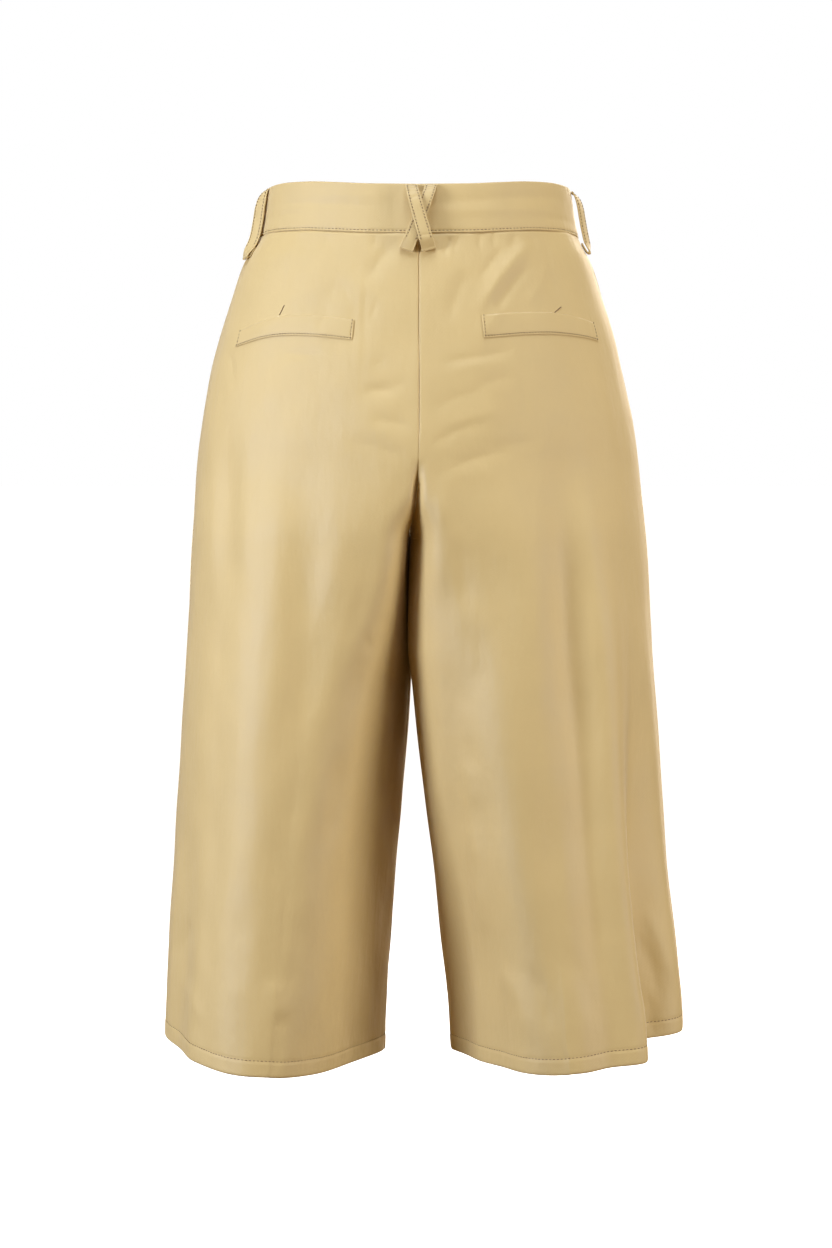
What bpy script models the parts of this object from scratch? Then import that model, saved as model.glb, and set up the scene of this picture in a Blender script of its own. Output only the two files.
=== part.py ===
"""Bermuda shorts: high-waisted, wide-legged and long, hollow and filled out as when worn.

Sizes are in millimetres here and in metres in the meshes. +Z is up, the back faces +Y and
the wearer's left is +X. The origin is the middle of the waist, halfway up the waistband.
A panel is drawn on a section of two quarter ellipses, one round the inside of the leg and
one round the outside. On a panel, t runs from the centre or inside seam (0) to the side
seam (1), and v from the waist seam (0) to the hem (1).
"""

import math

import bmesh
import bpy
import numpy as np
from mathutils import Vector

MM = 0.001
QUARTER = math.pi / 2.0

# ---- driving sizes, millimetres ----------------------------------------------------------
BAND_TOP = 20.0
BAND_BOTTOM = -20.0
BAND_WALL = 2.0
BAND_PROUD = 0.4            # the band stands this far out from the panels
BAND_COLUMNS = 78
BAND_ENDS = (-186.0, 191.0)     # degrees from the centre back: the over-lapping end, the other
BAND_STEP_IN = (150.0, 168.0)   # where the other end steps in behind the first
PANEL_WALL = 1.2
PANEL_ROWS = 26
PANEL_COLUMNS = {"back": 24, "front": 18}
SEAM_GAP = 0.3              # between two neighbouring pieces
SEAT_TOP = -195.0           # where the centre seams turn in between the legs
FORK = -268.0               # where the four panels meet
LEG_AT_FORK = 52.0          # from the middle of the body to the middle of a leg, at the fork
HEM_LEVEL = -712.0          # the lowest the hems reach
HEMS = {
    # side: height at the inside seam, height at the side seam
    "left": (-711.0, -691.5),
    "right": (-710.0, -686.0),
}

# Shares of a panel's inner edge: the straight centre seam, then the curve to the fork.
V_SEAT = 0.225
V_FORK = 0.43

STRAP_WIDTH = 10.7
STRAP_WALL = 1.4
STRAP_TOP = 19.0
STRAP_TURN = 2.1            # outer radius of the turn at a strap's lower end
STRAP_TAIL = 6.5            # the turned-up end under the strap

WELT_WALL = 1.1
WELT_COLUMNS = 14
WELT_ROWS = 3
FLY_TAPE = {"half_width": 12.0, "top": -24.0, "bottom": -165.0, "wall": 1.0, "behind": 0.8}
BUTTON_TILT = math.radians(82.9)

# Half widths of the wearer's left and right, from the waist down.
SILHOUETTE = (
    # z, left, right
    (20.0, 128.0, 127.3),
    (-20.0, 135.0, 134.5),
    (-41.0, 147.0, 145.5),
    (-70.0, 157.5, 155.0),
    (-103.0, 168.5, 165.0),
    (-137.0, 177.5, 173.0),
    (-171.0, 183.2, 180.4),
    (-239.0, 190.2, 189.3),
    (-324.0, 195.0, 195.9),
    (-426.0, 201.2, 203.2),
    (-530.0, 208.4, 210.6),
    (-634.0, 215.2, 221.5),
    (-665.0, 216.9, 225.4),
    (-712.0, 219.0, 227.2),
)

# The waist isn't level: how much it rises round from the centre back to the centre front.
WAIST_RISE = (
    # angle, rise
    (180.0, -5.0),
    (150.0, -3.0),
    (120.0, 0.0),
    (90.0, 1.2),
    (75.0, 3.2),
    (58.0, 4.6),
    (45.0, 4.2),
    (31.0, 2.5),
    (18.0, 0.8),
    (0.0, 0.0),
)
RISE_FADES = (-20.0, -120.0)

# How far the back and the front stand out from the side seams.
DEPTHS = (
    # z, back, front
    (20.0, 91.0, 96.0),
    (-20.0, 97.0, 101.0),
    (-60.0, 106.0, 107.0),
    (-100.0, 114.0, 111.0),
    (-150.0, 123.0, 113.0),
    (-200.0, 128.0, 114.0),
    (-260.0, 127.0, 116.0),
    (-375.0, 123.0, 119.0),
    (-530.0, 124.0, 121.0),
    (-712.0, 128.0, 124.0),
)

# Below the fork: the middle of a leg, and half the space between the legs.
LEGS = (
    # z, middle, inside
    (FORK, LEG_AT_FORK, 0.25),
    (-310.0, 70.0, 0.25),
    (-358.0, 86.0, 0.3),
    (-392.0, 94.0, 3.2),
    (-461.0, 103.0, 8.0),
    (-530.0, 109.0, 14.3),
    (-599.0, 115.0, 20.6),
    (-668.0, 120.0, 26.3),
    (-712.0, 124.0, 28.8),
)

# The share of a panel's width that goes round the inside of the leg, and the power of its
# curve: 1 is an ellipse, less is squarer and more is flatter.
INSIDES = (
    # z, share, power
    (SEAT_TOP, 0.0, 0.75),
    (-215.0, 0.10, 0.75),
    (-240.0, 0.215, 0.75),
    (FORK, 0.345, 0.76),
    (-310.0, 0.425, 0.82),
    (-375.0, 0.47, 0.95),
    (-480.0, 0.485, 1.15),
    (-600.0, 0.49, 1.35),
    (-712.0, 0.495, 1.5),
)

# The legs lean together to the wearer's left: the sideways place of the space between them.
LEAN = (
    # z, sideways
    (-200.0, 0.0),
    (-364.0, 5.5),
    (-426.0, 4.6),
    (-530.0, 3.8),
    (-600.0, 3.0),
    (-712.0, 0.8),
)
LEAN_REACH = 60.0           # how far from the middle the lean fades
SLIT_BEND = 5.0             # the touching legs bend sideways this much between back and front
SLIT_DEPTH = 240.0
SLIT_FADE = 60.0            # the bend comes in over this height under the seat

# The large folds: each is a ridge (height above 0) or a trough (below 0) that starts at
# z_start, is full at z_full and is gone at z_end. It lies s_start from the side seam where
# it starts and s_hem from it at the hem, along the cloth.
FOLDS = (
    # face, side, s_start, s_hem, z_start, z_full, z_end, half_width, height
    ("back", "left", 134.0, 146.0, -140.0, -420.0, -1500.0, 48.0, 7.0),
    ("back", "left", 166.0, 201.0, -190.0, -290.0, -480.0, 28.0, -5.0),
    ("back", "left", 90.0, 127.0, -180.0, -240.0, -350.0, 26.0, -3.5),
    ("back", "left", 70.0, 57.0, -420.0, -640.0, -1500.0, 38.0, -6.0),
    ("back", "left", 240.0, 262.0, -380.0, -600.0, -1500.0, 40.0, 5.0),
    ("back", "right", 120.0, 121.0, -160.0, -420.0, -1500.0, 38.0, 8.0),
    ("back", "right", 84.0, 68.0, -330.0, -715.0, -1500.0, 46.0, -38.0),
    ("back", "right", 147.0, 150.0, -150.0, -320.0, -1500.0, 28.0, -6.5),
    ("back", "right", 197.0, 251.0, -230.0, -420.0, -1500.0, 42.0, 6.0),
    ("front", "left", 150.0, 196.0, -170.0, -560.0, -1500.0, 48.0, 9.0),
    ("front", "left", 104.0, 128.0, -240.0, -650.0, -1500.0, 42.0, -12.0),
    ("front", "left", 46.0, 60.0, -330.0, -620.0, -1500.0, 40.0, 6.0),
    ("front", "right", 162.0, 214.0, -180.0, -600.0, -1500.0, 46.0, 10.0),
    ("front", "right", 98.0, 110.0, -260.0, -600.0, -1500.0, 42.0, -14.0),
)

# The belt loops: where each strap is sewn, and how far it stands off between its ends.
# Angles go round the waist from the centre back, towards the wearer's left.
LOOPS = (
    # name, angle at the top, angle at the bottom, bottom, stand-off, twist
    ("loop_back_under", -4.4, 4.2, -34.5, 6.3, 0.0),
    ("loop_back_over", 2.8, -3.3, -34.5, 9.2, 0.0),
    ("loop_side_left", 79.0, 76.5, -39.5, 4.7, 1.9),
    ("loop_side_right", -90.0, -90.0, -33.0, 6.8, 0.9),
    ("loop_front_left", 152.0, 152.0, -34.5, 5.6, 0.0),
    ("loop_front_right", -152.0, -152.0, -34.5, 5.6, 0.0),
)
STRAP_SHAPE = (
    # share of the way down to the turn, share of the stand-off
    (0.0, 0.0),
    (0.05, 0.38),
    (0.13, 0.76),
    (0.26, 0.97),
    (0.44, 1.0),
    (0.60, 1.0),
    (0.76, 0.98),
    (0.88, 0.85),
)

# The single welts of the back pockets, along the panel and down it.
WELTS = (
    # name, t_inner, t_outer, top at each end, height at each end,
    # rise of the top edge and of the lower edge between the ends
    ("welt_left", 0.206, 0.697, -90.7, -98.5, 16.1, 12.5, 7.4, 5.8),
    ("welt_right", 0.203, 0.703, -87.0, -92.0, 18.5, 14.5, 4.8, 4.0),
)

# The button, from its raised rim to its underside.
BUTTON_PROFILE = (
    # radius, height
    (0.0, 2.1),
    (4.9, 2.1),
    (5.6, 2.8),
    (6.9, 2.8),
    (7.5, 2.2),
    (7.5, 0.5),
    (7.0, 0.0),
    (0.0, 0.0),
)

SIDES = {"left": 1.0, "right": -1.0}
FACES = {"back": 1.0, "front": -1.0}
SHORTS_COTTON = {"colour": (0.62, 0.47, 0.25), "roughness": 0.72}
HORN_BUTTON = {"colour": (0.40, 0.28, 0.15), "roughness": 0.35}
ZIP_TAPE = {"colour": (0.55, 0.42, 0.22), "roughness": 0.8}


# ---- the form of the cloth ---------------------------------------------------------------
def at_height(rows, column, z):
    """One column of a table at height z, on a smooth curve that doesn't overshoot the rows."""
    heights = np.array([row[0] for row in rows])[::-1]
    values = np.array([row[column] for row in rows])[::-1]
    spans = np.diff(heights)
    rises = np.diff(values) / spans
    product = rises[:-1] * rises[1:]
    total = rises[:-1] + rises[1:]
    inner = np.where(product > 0.0, 2.0 * product / np.where(product > 0.0, total, 1.0), 0.0)
    slopes = np.concatenate([rises[:1], inner, rises[-1:]])
    z = np.clip(z, heights[0], heights[-1])
    k = np.clip(np.searchsorted(heights, z) - 1, 0, len(spans) - 1)
    s = (z - heights[k]) / spans[k]
    return (
        values[k] * (1.0 + 2.0 * s) * (1.0 - s) ** 2
        + spans[k] * slopes[k] * s * (1.0 - s) ** 2
        + values[k + 1] * s * s * (3.0 - 2.0 * s)
        + spans[k] * slopes[k + 1] * s * s * (s - 1.0)
    )


def ease(share):
    """A smooth step from 0 to 1."""
    share = np.clip(share, 0.0, 1.0)
    return share * share * (3.0 - 2.0 * share)


def fold_height(face, side, from_seam, z):
    """How far the large folds lift the cloth, or sink it, at a distance from the side seam."""
    lift = np.zeros_like(z)
    for fold_face, fold_side, s_start, s_hem, z_start, z_full, z_end, half, height in FOLDS:
        if (fold_face, fold_side) != (face, side):
            continue
        middle = s_start + (s_hem - s_start) * (z_start - z) / (z_start - HEM_LEVEL)
        across = np.clip((from_seam - middle) / half, -1.0, 1.0)
        along = ease((z_start - z) / (z_start - z_full)) * ease((z - z_end) / (z_full - z_end))
        lift += height * along * np.cos(across * math.pi / 2.0) ** 2
    return lift


def waist_rise(angle, z):
    """How far the cloth is raised near the waist, at an angle from the centre back."""
    starts, ends = RISE_FADES
    from_back = 180.0 - np.abs(180.0 - np.abs(angle))
    return at_height(WAIST_RISE, 1, from_back) * ease((z - ends) / (starts - ends))


def cloth(face, side, t, z):
    """Outer surface of a panel at t along its section, at height z."""
    t, z = np.broadcast_arrays(np.asarray(t, float), np.asarray(z, float))
    edge = SEAM_GAP / 2.0
    wide = at_height(SILHOUETTE, 1 if side == "left" else 2, z)
    deep = at_height(DEPTHS, 1 if face == "back" else 2, z)
    turn = np.clip((SEAT_TOP - z) / (SEAT_TOP - FORK), 0.0, 1.0)
    below = z < FORK
    middle = np.where(below, at_height(LEGS, 1, z), LEG_AT_FORK * turn)
    reach = np.where(below, middle - at_height(LEGS, 2, z), LEG_AT_FORK)
    share_in = at_height(INSIDES, 1, z)
    power_in = at_height(INSIDES, 2, z)
    inside = t < share_in
    part_in = t / np.where(share_in > 0.0, share_in, 1.0)
    part_out = (t - share_in) / (1.0 - share_in)
    first = np.arccos(turn ** (1.0 / power_in))
    angle = np.where(
        inside,
        first + (QUARTER - first) * part_in,
        QUARTER * (1.0 - part_out),
    )
    angle = np.clip(angle, 1e-4, QUARTER - 1e-4)
    power = np.where(inside, power_in, 1.0)
    way = np.where(inside, -1.0, 1.0)
    radius = np.where(inside, reach, wide - middle)
    x = middle + way * radius * np.cos(angle) ** power
    y = deep * np.sin(angle) ** power
    normal_x = way * deep * np.sin(angle) ** (power - 1.0) * np.cos(angle)
    normal_y = radius * np.cos(angle) ** (power - 1.0) * np.sin(angle)
    size = np.hypot(normal_x, normal_y)
    round_outside = np.hypot(wide - middle, deep)
    round_inside = np.hypot(reach, deep)
    from_seam = np.where(
        inside,
        QUARTER * round_outside + (QUARTER - angle) * round_inside,
        angle * round_outside,
    ) / math.sqrt(2.0)
    lift = fold_height(face, side, from_seam, z)
    x = edge + x * (wide - edge) / wide + lift * normal_x / size
    y = edge + y * (deep - edge) / deep + lift * normal_y / size
    x, y = x * SIDES[side], y * FACES[face]
    bend = SLIT_BEND * np.sin(2.0 * math.pi * y / SLIT_DEPTH) * ease((SEAT_TOP - z) / SLIT_FADE)
    x = x + (at_height(LEAN, 1, z) + bend) * np.exp(-(x / LEAN_REACH) ** 2)
    round_waist = 90.0 - FACES[face] * 90.0 * (1.0 - t)
    return np.stack([x, y, z + waist_rise(round_waist, z)], axis=-1)


def cloth_out(face, side, t, z, out):
    """A point on a panel, moved out along the panel's normal."""
    point = cloth(face, side, t, z)
    along = cloth(face, side, t + 1e-3, z) - cloth(face, side, t - 1e-3, z)
    down = cloth(face, side, t, z - 1.0) - point
    normal = np.cross(along, down) * SIDES[side] * FACES[face]
    return point + out * normal / np.linalg.norm(normal, axis=-1, keepdims=True)


def row_height(side, t, v):
    """Height on a panel: rows follow the inner edge at t = 0 and the side seam at t = 1."""
    top = BAND_BOTTOM - SEAM_GAP
    hem_inside, hem_side = HEMS[side]
    turn = np.clip((v - V_SEAT) / (V_FORK - V_SEAT), 0.0, 1.0) * QUARTER
    leg = np.clip((v - V_FORK) / (1.0 - V_FORK), 0.0, 1.0)
    edge = np.where(
        v < V_SEAT,
        top + (SEAT_TOP - top) * v / V_SEAT,
        SEAT_TOP + (FORK - SEAT_TOP) * np.sin(turn) + (hem_inside - FORK) * leg,
    )
    side_seam = top + (hem_side - top) * v
    return edge + (side_seam - edge) * t * t


def waist(angle, z, out):
    """A point round the waist, moved out. Angle in degrees from the centre back to the left."""
    turn = np.radians(angle)
    wide = np.where(np.sin(turn) > 0.0, at_height(SILHOUETTE, 1, z), at_height(SILHOUETTE, 2, z))
    deep = np.where(np.cos(turn) > 0.0, at_height(DEPTHS, 1, z), at_height(DEPTHS, 2, z))
    normal = np.stack([np.sin(turn) / wide, np.cos(turn) / deep], axis=-1)
    normal /= np.linalg.norm(normal, axis=-1, keepdims=True)
    x = wide * np.sin(turn) + out * normal[..., 0]
    y = deep * np.cos(turn) + out * normal[..., 1]
    return np.stack([x, y, z + waist_rise(angle, z)], axis=-1)


# ---- making the pieces -------------------------------------------------------------------
def make_material(name, finish):
    material = bpy.data.materials.new(name)
    material.use_nodes = True
    shader = material.node_tree.nodes["Principled BSDF"]
    shader.inputs["Base Color"].default_value = (*finish["colour"], 1.0)
    shader.inputs["Roughness"].default_value = finish["roughness"]
    shader.inputs["Metallic"].default_value = 0.0
    return material


def add_object(name, mesh, finish, collection):
    mesh.materials.append(make_material(name, finish))
    mesh.shade_smooth()
    mesh.set_sharp_from_angle(angle=math.radians(40.0))
    piece = bpy.data.objects.new(name, mesh)
    collection.objects.link(piece)
    return piece


def cloth_wall(name, columns, rows, place, wall, collection, turn_over=False,
               finish=SHORTS_COTTON):
    """A sheet placed by a function of two shares, thickened inwards to a wall."""
    sheet = bmesh.new()
    bmesh.ops.create_grid(sheet, x_segments=columns, y_segments=rows, size=0.5)
    shares = np.array([vertex.co[:2] for vertex in sheet.verts]) + 0.5
    for vertex, point in zip(sheet.verts, place(shares[:, 0], shares[:, 1])):
        vertex.co = Vector(point) * MM
    if turn_over:
        bmesh.ops.reverse_faces(sheet, faces=sheet.faces)
    mesh = bpy.data.meshes.new(name)
    sheet.to_mesh(mesh)
    sheet.free()
    piece = add_object(name, mesh, finish, collection)
    solidify = piece.modifiers.new("wall", "SOLIDIFY")
    solidify.thickness = wall * MM
    solidify.offset = -1.0
    solidify.use_even_offset = True
    solidify.use_quality_normals = True
    return piece


def narrow_ends(share, columns, end):
    """Even columns, but a narrow first and last one along the seams."""
    step = np.rint(share * columns)
    even = end + (step - 1.0) / (columns - 2.0) * (1.0 - 2.0 * end)
    return np.where(step < 0.5, 0.0, np.where(step > columns - 0.5, 1.0, even))


def make_panel(face, side, collection):
    """One leg panel, from the waist seam to the hem."""
    columns = PANEL_COLUMNS[face]

    def place(across, down):
        t = narrow_ends(across, columns, end=0.016)
        return cloth(face, side, t, row_height(side, t, down))

    turned = SIDES[side] * FACES[face] < 0.0
    cloth_wall(f"{face}_{side}", columns, PANEL_ROWS, place, PANEL_WALL, collection, turned)


def make_waistband(collection):
    """One strip round the waist. Its left end passes behind its right end at the front."""
    over_end, under_end = BAND_ENDS
    step_start, step_end = BAND_STEP_IN
    tuck = BAND_WALL + SEAM_GAP

    def place(across, down):
        angle = over_end + (under_end - over_end) * across
        out = BAND_PROUD - tuck * ease((angle - step_start) / (step_end - step_start))
        return waist(angle, BAND_TOP + (BAND_BOTTOM - BAND_TOP) * down, out)

    cloth_wall("waistband", BAND_COLUMNS, 1, place, BAND_WALL, collection)


def strap_path(bottom, stand_off):
    """A strap's outer face from its top end, off the waist, round the turn and up its tail.

    Each point is a height, a distance out and how much of the stand-off it has.
    """
    lies = BAND_PROUD + SEAM_GAP
    turn_z = bottom + STRAP_TURN
    points = [
        (STRAP_TOP + (turn_z - STRAP_TOP) * way, lies + STRAP_WALL + stand_off * share, share)
        for way, share in STRAP_SHAPE
    ]
    for angle in np.linspace(0.0, math.pi, 7):
        out = lies + STRAP_TURN * (1.0 + math.cos(angle))
        points.append((turn_z - STRAP_TURN * math.sin(angle), out, 0.0))
    points.append((turn_z + STRAP_TAIL, lies, 0.0))
    return np.array(points)


def make_loop(name, angle_top, angle_bottom, bottom, stand_off, twist, collection):
    """A strap sewn down at both ends, which stands off the waist between them."""
    path = strap_path(bottom, stand_off)
    height = STRAP_TOP - bottom
    middle = (STRAP_TOP + bottom) / 2.0
    degree = waist(angle_bottom + 1.0, middle, 0.0) - waist(angle_bottom, middle, 0.0)
    mm_per_degree = float(np.linalg.norm(degree))
    tilt = math.atan2((angle_bottom - angle_top) * mm_per_degree, height)

    def place(across, down):
        row = np.rint(down * (len(path) - 1)).astype(int)
        z, out, standing = path[row, 0], path[row, 1], path[row, 2]
        side_step = (across - 0.5) * STRAP_WIDTH
        angle = angle_top + (angle_bottom - angle_top) * (STRAP_TOP - z) / height
        angle = angle + side_step * math.cos(tilt) / mm_per_degree
        z = z + side_step * math.sin(tilt) * (STRAP_TOP - z) / height
        return waist(angle, z, out + twist * standing * (across - 0.5) * 2.0)

    cloth_wall(name, 2, len(path) - 1, place, STRAP_WALL, collection)


def make_welt(name, t_inner, t_outer, top_inner, top_outer, tall_inner, tall_outer,
              rise_top, rise_bottom, collection):
    """A single welt that lies on the back panel over the pocket's mouth."""
    side = name.split("_")[1]

    def place(across, down):
        t = t_inner + (t_outer - t_inner) * across
        top = top_inner + (top_outer - top_inner) * across
        tall = tall_inner + (tall_outer - tall_inner) * across
        rise = rise_top + (rise_bottom - rise_top) * down
        z = top - tall * down + rise * np.sin(math.pi * across)
        return cloth_out("back", side, t, z, SEAM_GAP + WELT_WALL)

    cloth_wall(name, WELT_COLUMNS, WELT_ROWS, place, WELT_WALL, collection, SIDES[side] < 0.0)


def make_fly_zip(collection):
    """The closed zip's tape, which lies against the inside of both fronts."""
    tape = FLY_TAPE

    def place(across, down):
        x = (across - 0.5) * 2.0 * tape["half_width"]
        z = tape["top"] + (tape["bottom"] - tape["top"]) * down
        angle = 180.0 - np.degrees(np.arcsin(x / at_height(SILHOUETTE, 1, z)))
        return waist(angle, z, -PANEL_WALL - tape["behind"])

    cloth_wall("fly_zip", 4, 10, place, tape["wall"], collection, True, ZIP_TAPE)


def make_button(collection):
    """A flat round button on the over-lapping end of the waistband."""
    mesh = bpy.data.meshes.new("waist_button")
    points = [(radius * MM, 0.0, height * MM) for radius, height in BUTTON_PROFILE]
    edges = [(k, k + 1) for k in range(len(points) - 1)]
    mesh.from_pydata(points, edges, [])
    button = add_object("waist_button", mesh, HORN_BUTTON, collection)
    screw = button.modifiers.new("turn", "SCREW")
    screw.steps = 28
    screw.render_steps = 28
    screw.use_merge_vertices = True
    screw.merge_threshold = 0.00005
    button.location = Vector(waist(180.0, 0.0, BAND_PROUD + SEAM_GAP)) * MM
    button.rotation_euler = (BUTTON_TILT, 0.0, 0.0)


def main():
    for item in list(bpy.data.objects):
        bpy.data.objects.remove(item, do_unlink=True)
    collection = bpy.data.collections.new("bermuda_shorts")
    bpy.context.scene.collection.children.link(collection)
    for side in SIDES:
        for face in FACES:
            make_panel(face, side, collection)
    make_waistband(collection)
    for loop in LOOPS:
        make_loop(*loop, collection)
    for welt in WELTS:
        make_welt(*welt, collection)
    make_fly_zip(collection)
    make_button(collection)


main()
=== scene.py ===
"""Long khaki bermuda shorts, seen from the back: fine cloth, sewing and finishes.

Sizes of the garment are in millimetres here and in metres in the meshes. +Z is up, the
back faces +Y and the wearer's left is +X. On a panel, t runs from the centre or inside
seam (0) to the side seam (1).
"""
import math

import bmesh
import bpy
import numpy as np
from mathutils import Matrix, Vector


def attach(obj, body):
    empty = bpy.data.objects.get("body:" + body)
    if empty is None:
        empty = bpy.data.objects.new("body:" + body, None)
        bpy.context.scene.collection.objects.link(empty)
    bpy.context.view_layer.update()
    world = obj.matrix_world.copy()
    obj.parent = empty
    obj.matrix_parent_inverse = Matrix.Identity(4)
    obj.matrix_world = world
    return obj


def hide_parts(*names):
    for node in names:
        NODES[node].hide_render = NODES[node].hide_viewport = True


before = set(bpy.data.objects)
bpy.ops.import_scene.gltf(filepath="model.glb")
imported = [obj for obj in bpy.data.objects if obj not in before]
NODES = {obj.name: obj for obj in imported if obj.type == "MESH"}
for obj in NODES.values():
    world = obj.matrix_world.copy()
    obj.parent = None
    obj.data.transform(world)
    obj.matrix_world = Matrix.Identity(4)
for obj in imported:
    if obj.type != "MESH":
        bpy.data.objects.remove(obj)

bl_info = {
    "name": "Bermuda Shorts",
    "version": (1, 0, 0),
    "blender": (4, 5, 0),
    "location": "View3D > Sidebar > Shorts",
    "description": "Builds a pair of long cotton bermuda shorts with its sewing and finishes",
    "category": "Object",
}

MM = 0.001
QUARTER = math.pi / 2.0
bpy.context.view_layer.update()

# ---- the garment's own sizes, millimetres ------------------------------------------------
BAND_TOP = 20.0
BAND_BOTTOM = -20.0
BAND_WALL = 2.0
BAND_PROUD = 0.4
BAND_ENDS = (-186.0, 191.0)     # degrees from the centre back: the over-lapping end, the other
BAND_STEP_IN = (150.0, 168.0)   # where the other end steps in behind the first
BAND_STITCH_ENDS = (-185.0, 176.0)
BAND_CORNER = 0.95
BAND_COLUMNS = 430
BAND_SCALE = 2.3                # millimetres to a degree at the back
BAND_SCALE_ROUND = 2.1          # and all round
PANEL_WALL = 1.2
SEAM_GAP = 0.3
TOP_TUCK = 0.5              # the panels' tops end inside the waistband's seam
SEWN_GAP = -0.04            # between the cloths at the centre seams, where they are sewn
SEAT_TOP = -195.0
FORK = -268.0
LEG_AT_FORK = 52.0          # the middle of a leg there
HEM_LEVEL = -712.0
HEMS = {
    # side: height at the inside seam, height at the side seam
    "left": (-711.0, -691.5),
    "right": (-710.0, -686.0),
}
FORK_SLOPE = 0.6            # how fast the legs still part at the fork
V_SEAT = 0.225              # share of the way down a panel where the seat seam starts to turn
V_FORK = 0.43               # and where the legs part
STRAP_WIDTH = 10.7
STRAP_WALL = 1.4
STRAP_TOP = 19.0
STRAP_TURN = 2.1
STRAP_TAIL = 6.5
STRAP_CORNER = 0.62
STRAP_ROWS = 130            # rows of points down a strap,
STRAP_STEP = 0.53           # this far apart
STRAP_STITCHED = slice(3, 88)       # its rows that are stitched
STRAP_CREASE_HALF = 1.1
WELT_LENGTH = 115.0
WELT_TALL = 16.0
WELT_TOP = 0.95             # the welt's outer face over the panel, pressed down
WELT_SHELL = 0.7

SILHOUETTE = (
    # z, half-width at the left and at the right
    (20.0, 128.0, 127.3),
    (-20.0, 135.0, 134.5),
    (-41.0, 147.0, 145.5),
    (-70.0, 157.5, 155.0),
    (-103.0, 168.5, 165.0),
    (-137.0, 177.5, 173.0),
    (-171.0, 183.2, 180.4),
    (-239.0, 190.2, 189.3),
    (-324.0, 195.0, 195.9),
    (-426.0, 201.2, 203.2),
    (-530.0, 208.4, 210.6),
    (-634.0, 215.2, 221.5),
    (-665.0, 216.9, 225.4),
    (-712.0, 219.0, 227.2),
)
WAIST_RISE = (
    # degrees from the centre back, how far the waist is raised there
    (180.0, -5.0),
    (150.0, -3.0),
    (120.0, 0.0),
    (90.0, 1.2),
    (75.0, 3.2),
    (58.0, 4.6),
    (45.0, 4.2),
    (31.0, 2.5),
    (18.0, 0.8),
    (0.0, 0.0),
)
RISE_FADES = (-20.0, -120.0)
DEPTHS = (
    # z, depth of the back and of the front
    (20.0, 91.0, 96.0),
    (-20.0, 97.0, 101.0),
    (-60.0, 106.0, 107.0),
    (-100.0, 114.0, 111.0),
    (-150.0, 123.0, 113.0),
    (-200.0, 128.0, 114.0),
    (-260.0, 127.0, 116.0),
    (-375.0, 123.0, 119.0),
    (-530.0, 124.0, 121.0),
    (-712.0, 128.0, 124.0),
)
LEGS = (
    # z, where a leg's middle and its inner side lie
    (FORK, LEG_AT_FORK, 0.25),
    (-310.0, 70.0, 0.25),
    (-358.0, 86.0, 0.3),
    (-392.0, 94.0, 3.2),
    (-461.0, 103.0, 8.0),
    (-530.0, 109.0, 14.3),
    (-599.0, 115.0, 20.6),
    (-668.0, 120.0, 26.3),
    (-712.0, 124.0, 28.8),
)
INSIDES = (
    # z, share of a panel that turns in between the legs, how round it is
    (SEAT_TOP, 0.0, 0.75),
    (-215.0, 0.10, 0.75),
    (-240.0, 0.215, 0.75),
    (FORK, 0.345, 0.76),
    (-310.0, 0.425, 0.82),
    (-375.0, 0.47, 0.95),
    (-480.0, 0.485, 1.15),
    (-600.0, 0.49, 1.35),
    (-712.0, 0.495, 1.5),
)
LEAN = (
    # z, how far the slit between the legs lies to the wearer's left
    (-200.0, 0.0),
    (-364.0, 5.5),
    (-426.0, 4.6),
    (-530.0, 3.8),
    (-600.0, 3.0),
    (-712.0, 0.8),
)
LEAN_REACH = 60.0
TROUGH_LEVELS = (-200.0, -232.0, -236.0, -267.0)    # the seat seam sinks between the legs
TROUGH_DEPTH = 8.0
TROUGH_HALF = 3.6
PRESSED = (
    # height, how much squarer the inner corner of the left and of the right leg is where the
    # legs press on one another; below 0 it is a long slope
    (-200.0, 0.0, 0.0),
    (-235.0, 0.4, 0.4),
    (-268.0, 0.4, 0.4),
    (-400.0, 0.05, 0.34),
    (-520.0, -0.08, 0.2),
    (-640.0, 0.0, 0.0),
    (-760.0, 0.0, 0.0),
)
SLIT_BEND = 5.0             # the legs' inner sides bend one way from the back to the front
SLIT_DEPTH = 240.0
SLIT_FADE = 60.0
FOLDS = {
    # s_start, s_hem, z_start, z_full, z_end, half_width, height
    ("back", "left"): (
        (134.0, 146.0, -140.0, -420.0, -1500.0, 48.0, 7.0),
        (166.0, 201.0, -190.0, -290.0, -480.0, 28.0, -5.0),
        (90.0, 127.0, -180.0, -240.0, -350.0, 26.0, -3.5),
        (70.0, 57.0, -420.0, -640.0, -1500.0, 38.0, -6.0),
        (224.0, 228.0, -300.0, -560.0, -1500.0, 60.0, 6.0),
    ),
    ("back", "right"): (
        (112.0, 110.0, -160.0, -420.0, -1500.0, 38.0, 8.5),
        (84.0, 68.0, -330.0, -715.0, -1500.0, 46.0, -38.0),
        (142.0, 142.0, -150.0, -320.0, -1500.0, 30.0, -7.0),
        (170.0, 236.0, -230.0, -420.0, -1500.0, 38.0, 7.5),
        (222.0, 318.0, -320.0, -520.0, -1500.0, 30.0, -4.0),
    ),
    ("front", "left"): (
        (150.0, 196.0, -170.0, -560.0, -1500.0, 48.0, 9.0),
        (104.0, 128.0, -240.0, -650.0, -1500.0, 42.0, -12.0),
        (46.0, 60.0, -330.0, -620.0, -1500.0, 40.0, 6.0),
    ),
    ("front", "right"): (
        (162.0, 214.0, -180.0, -600.0, -1500.0, 46.0, 10.0),
        (98.0, 110.0, -260.0, -600.0, -1500.0, 42.0, -14.0),
    ),
}
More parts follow.
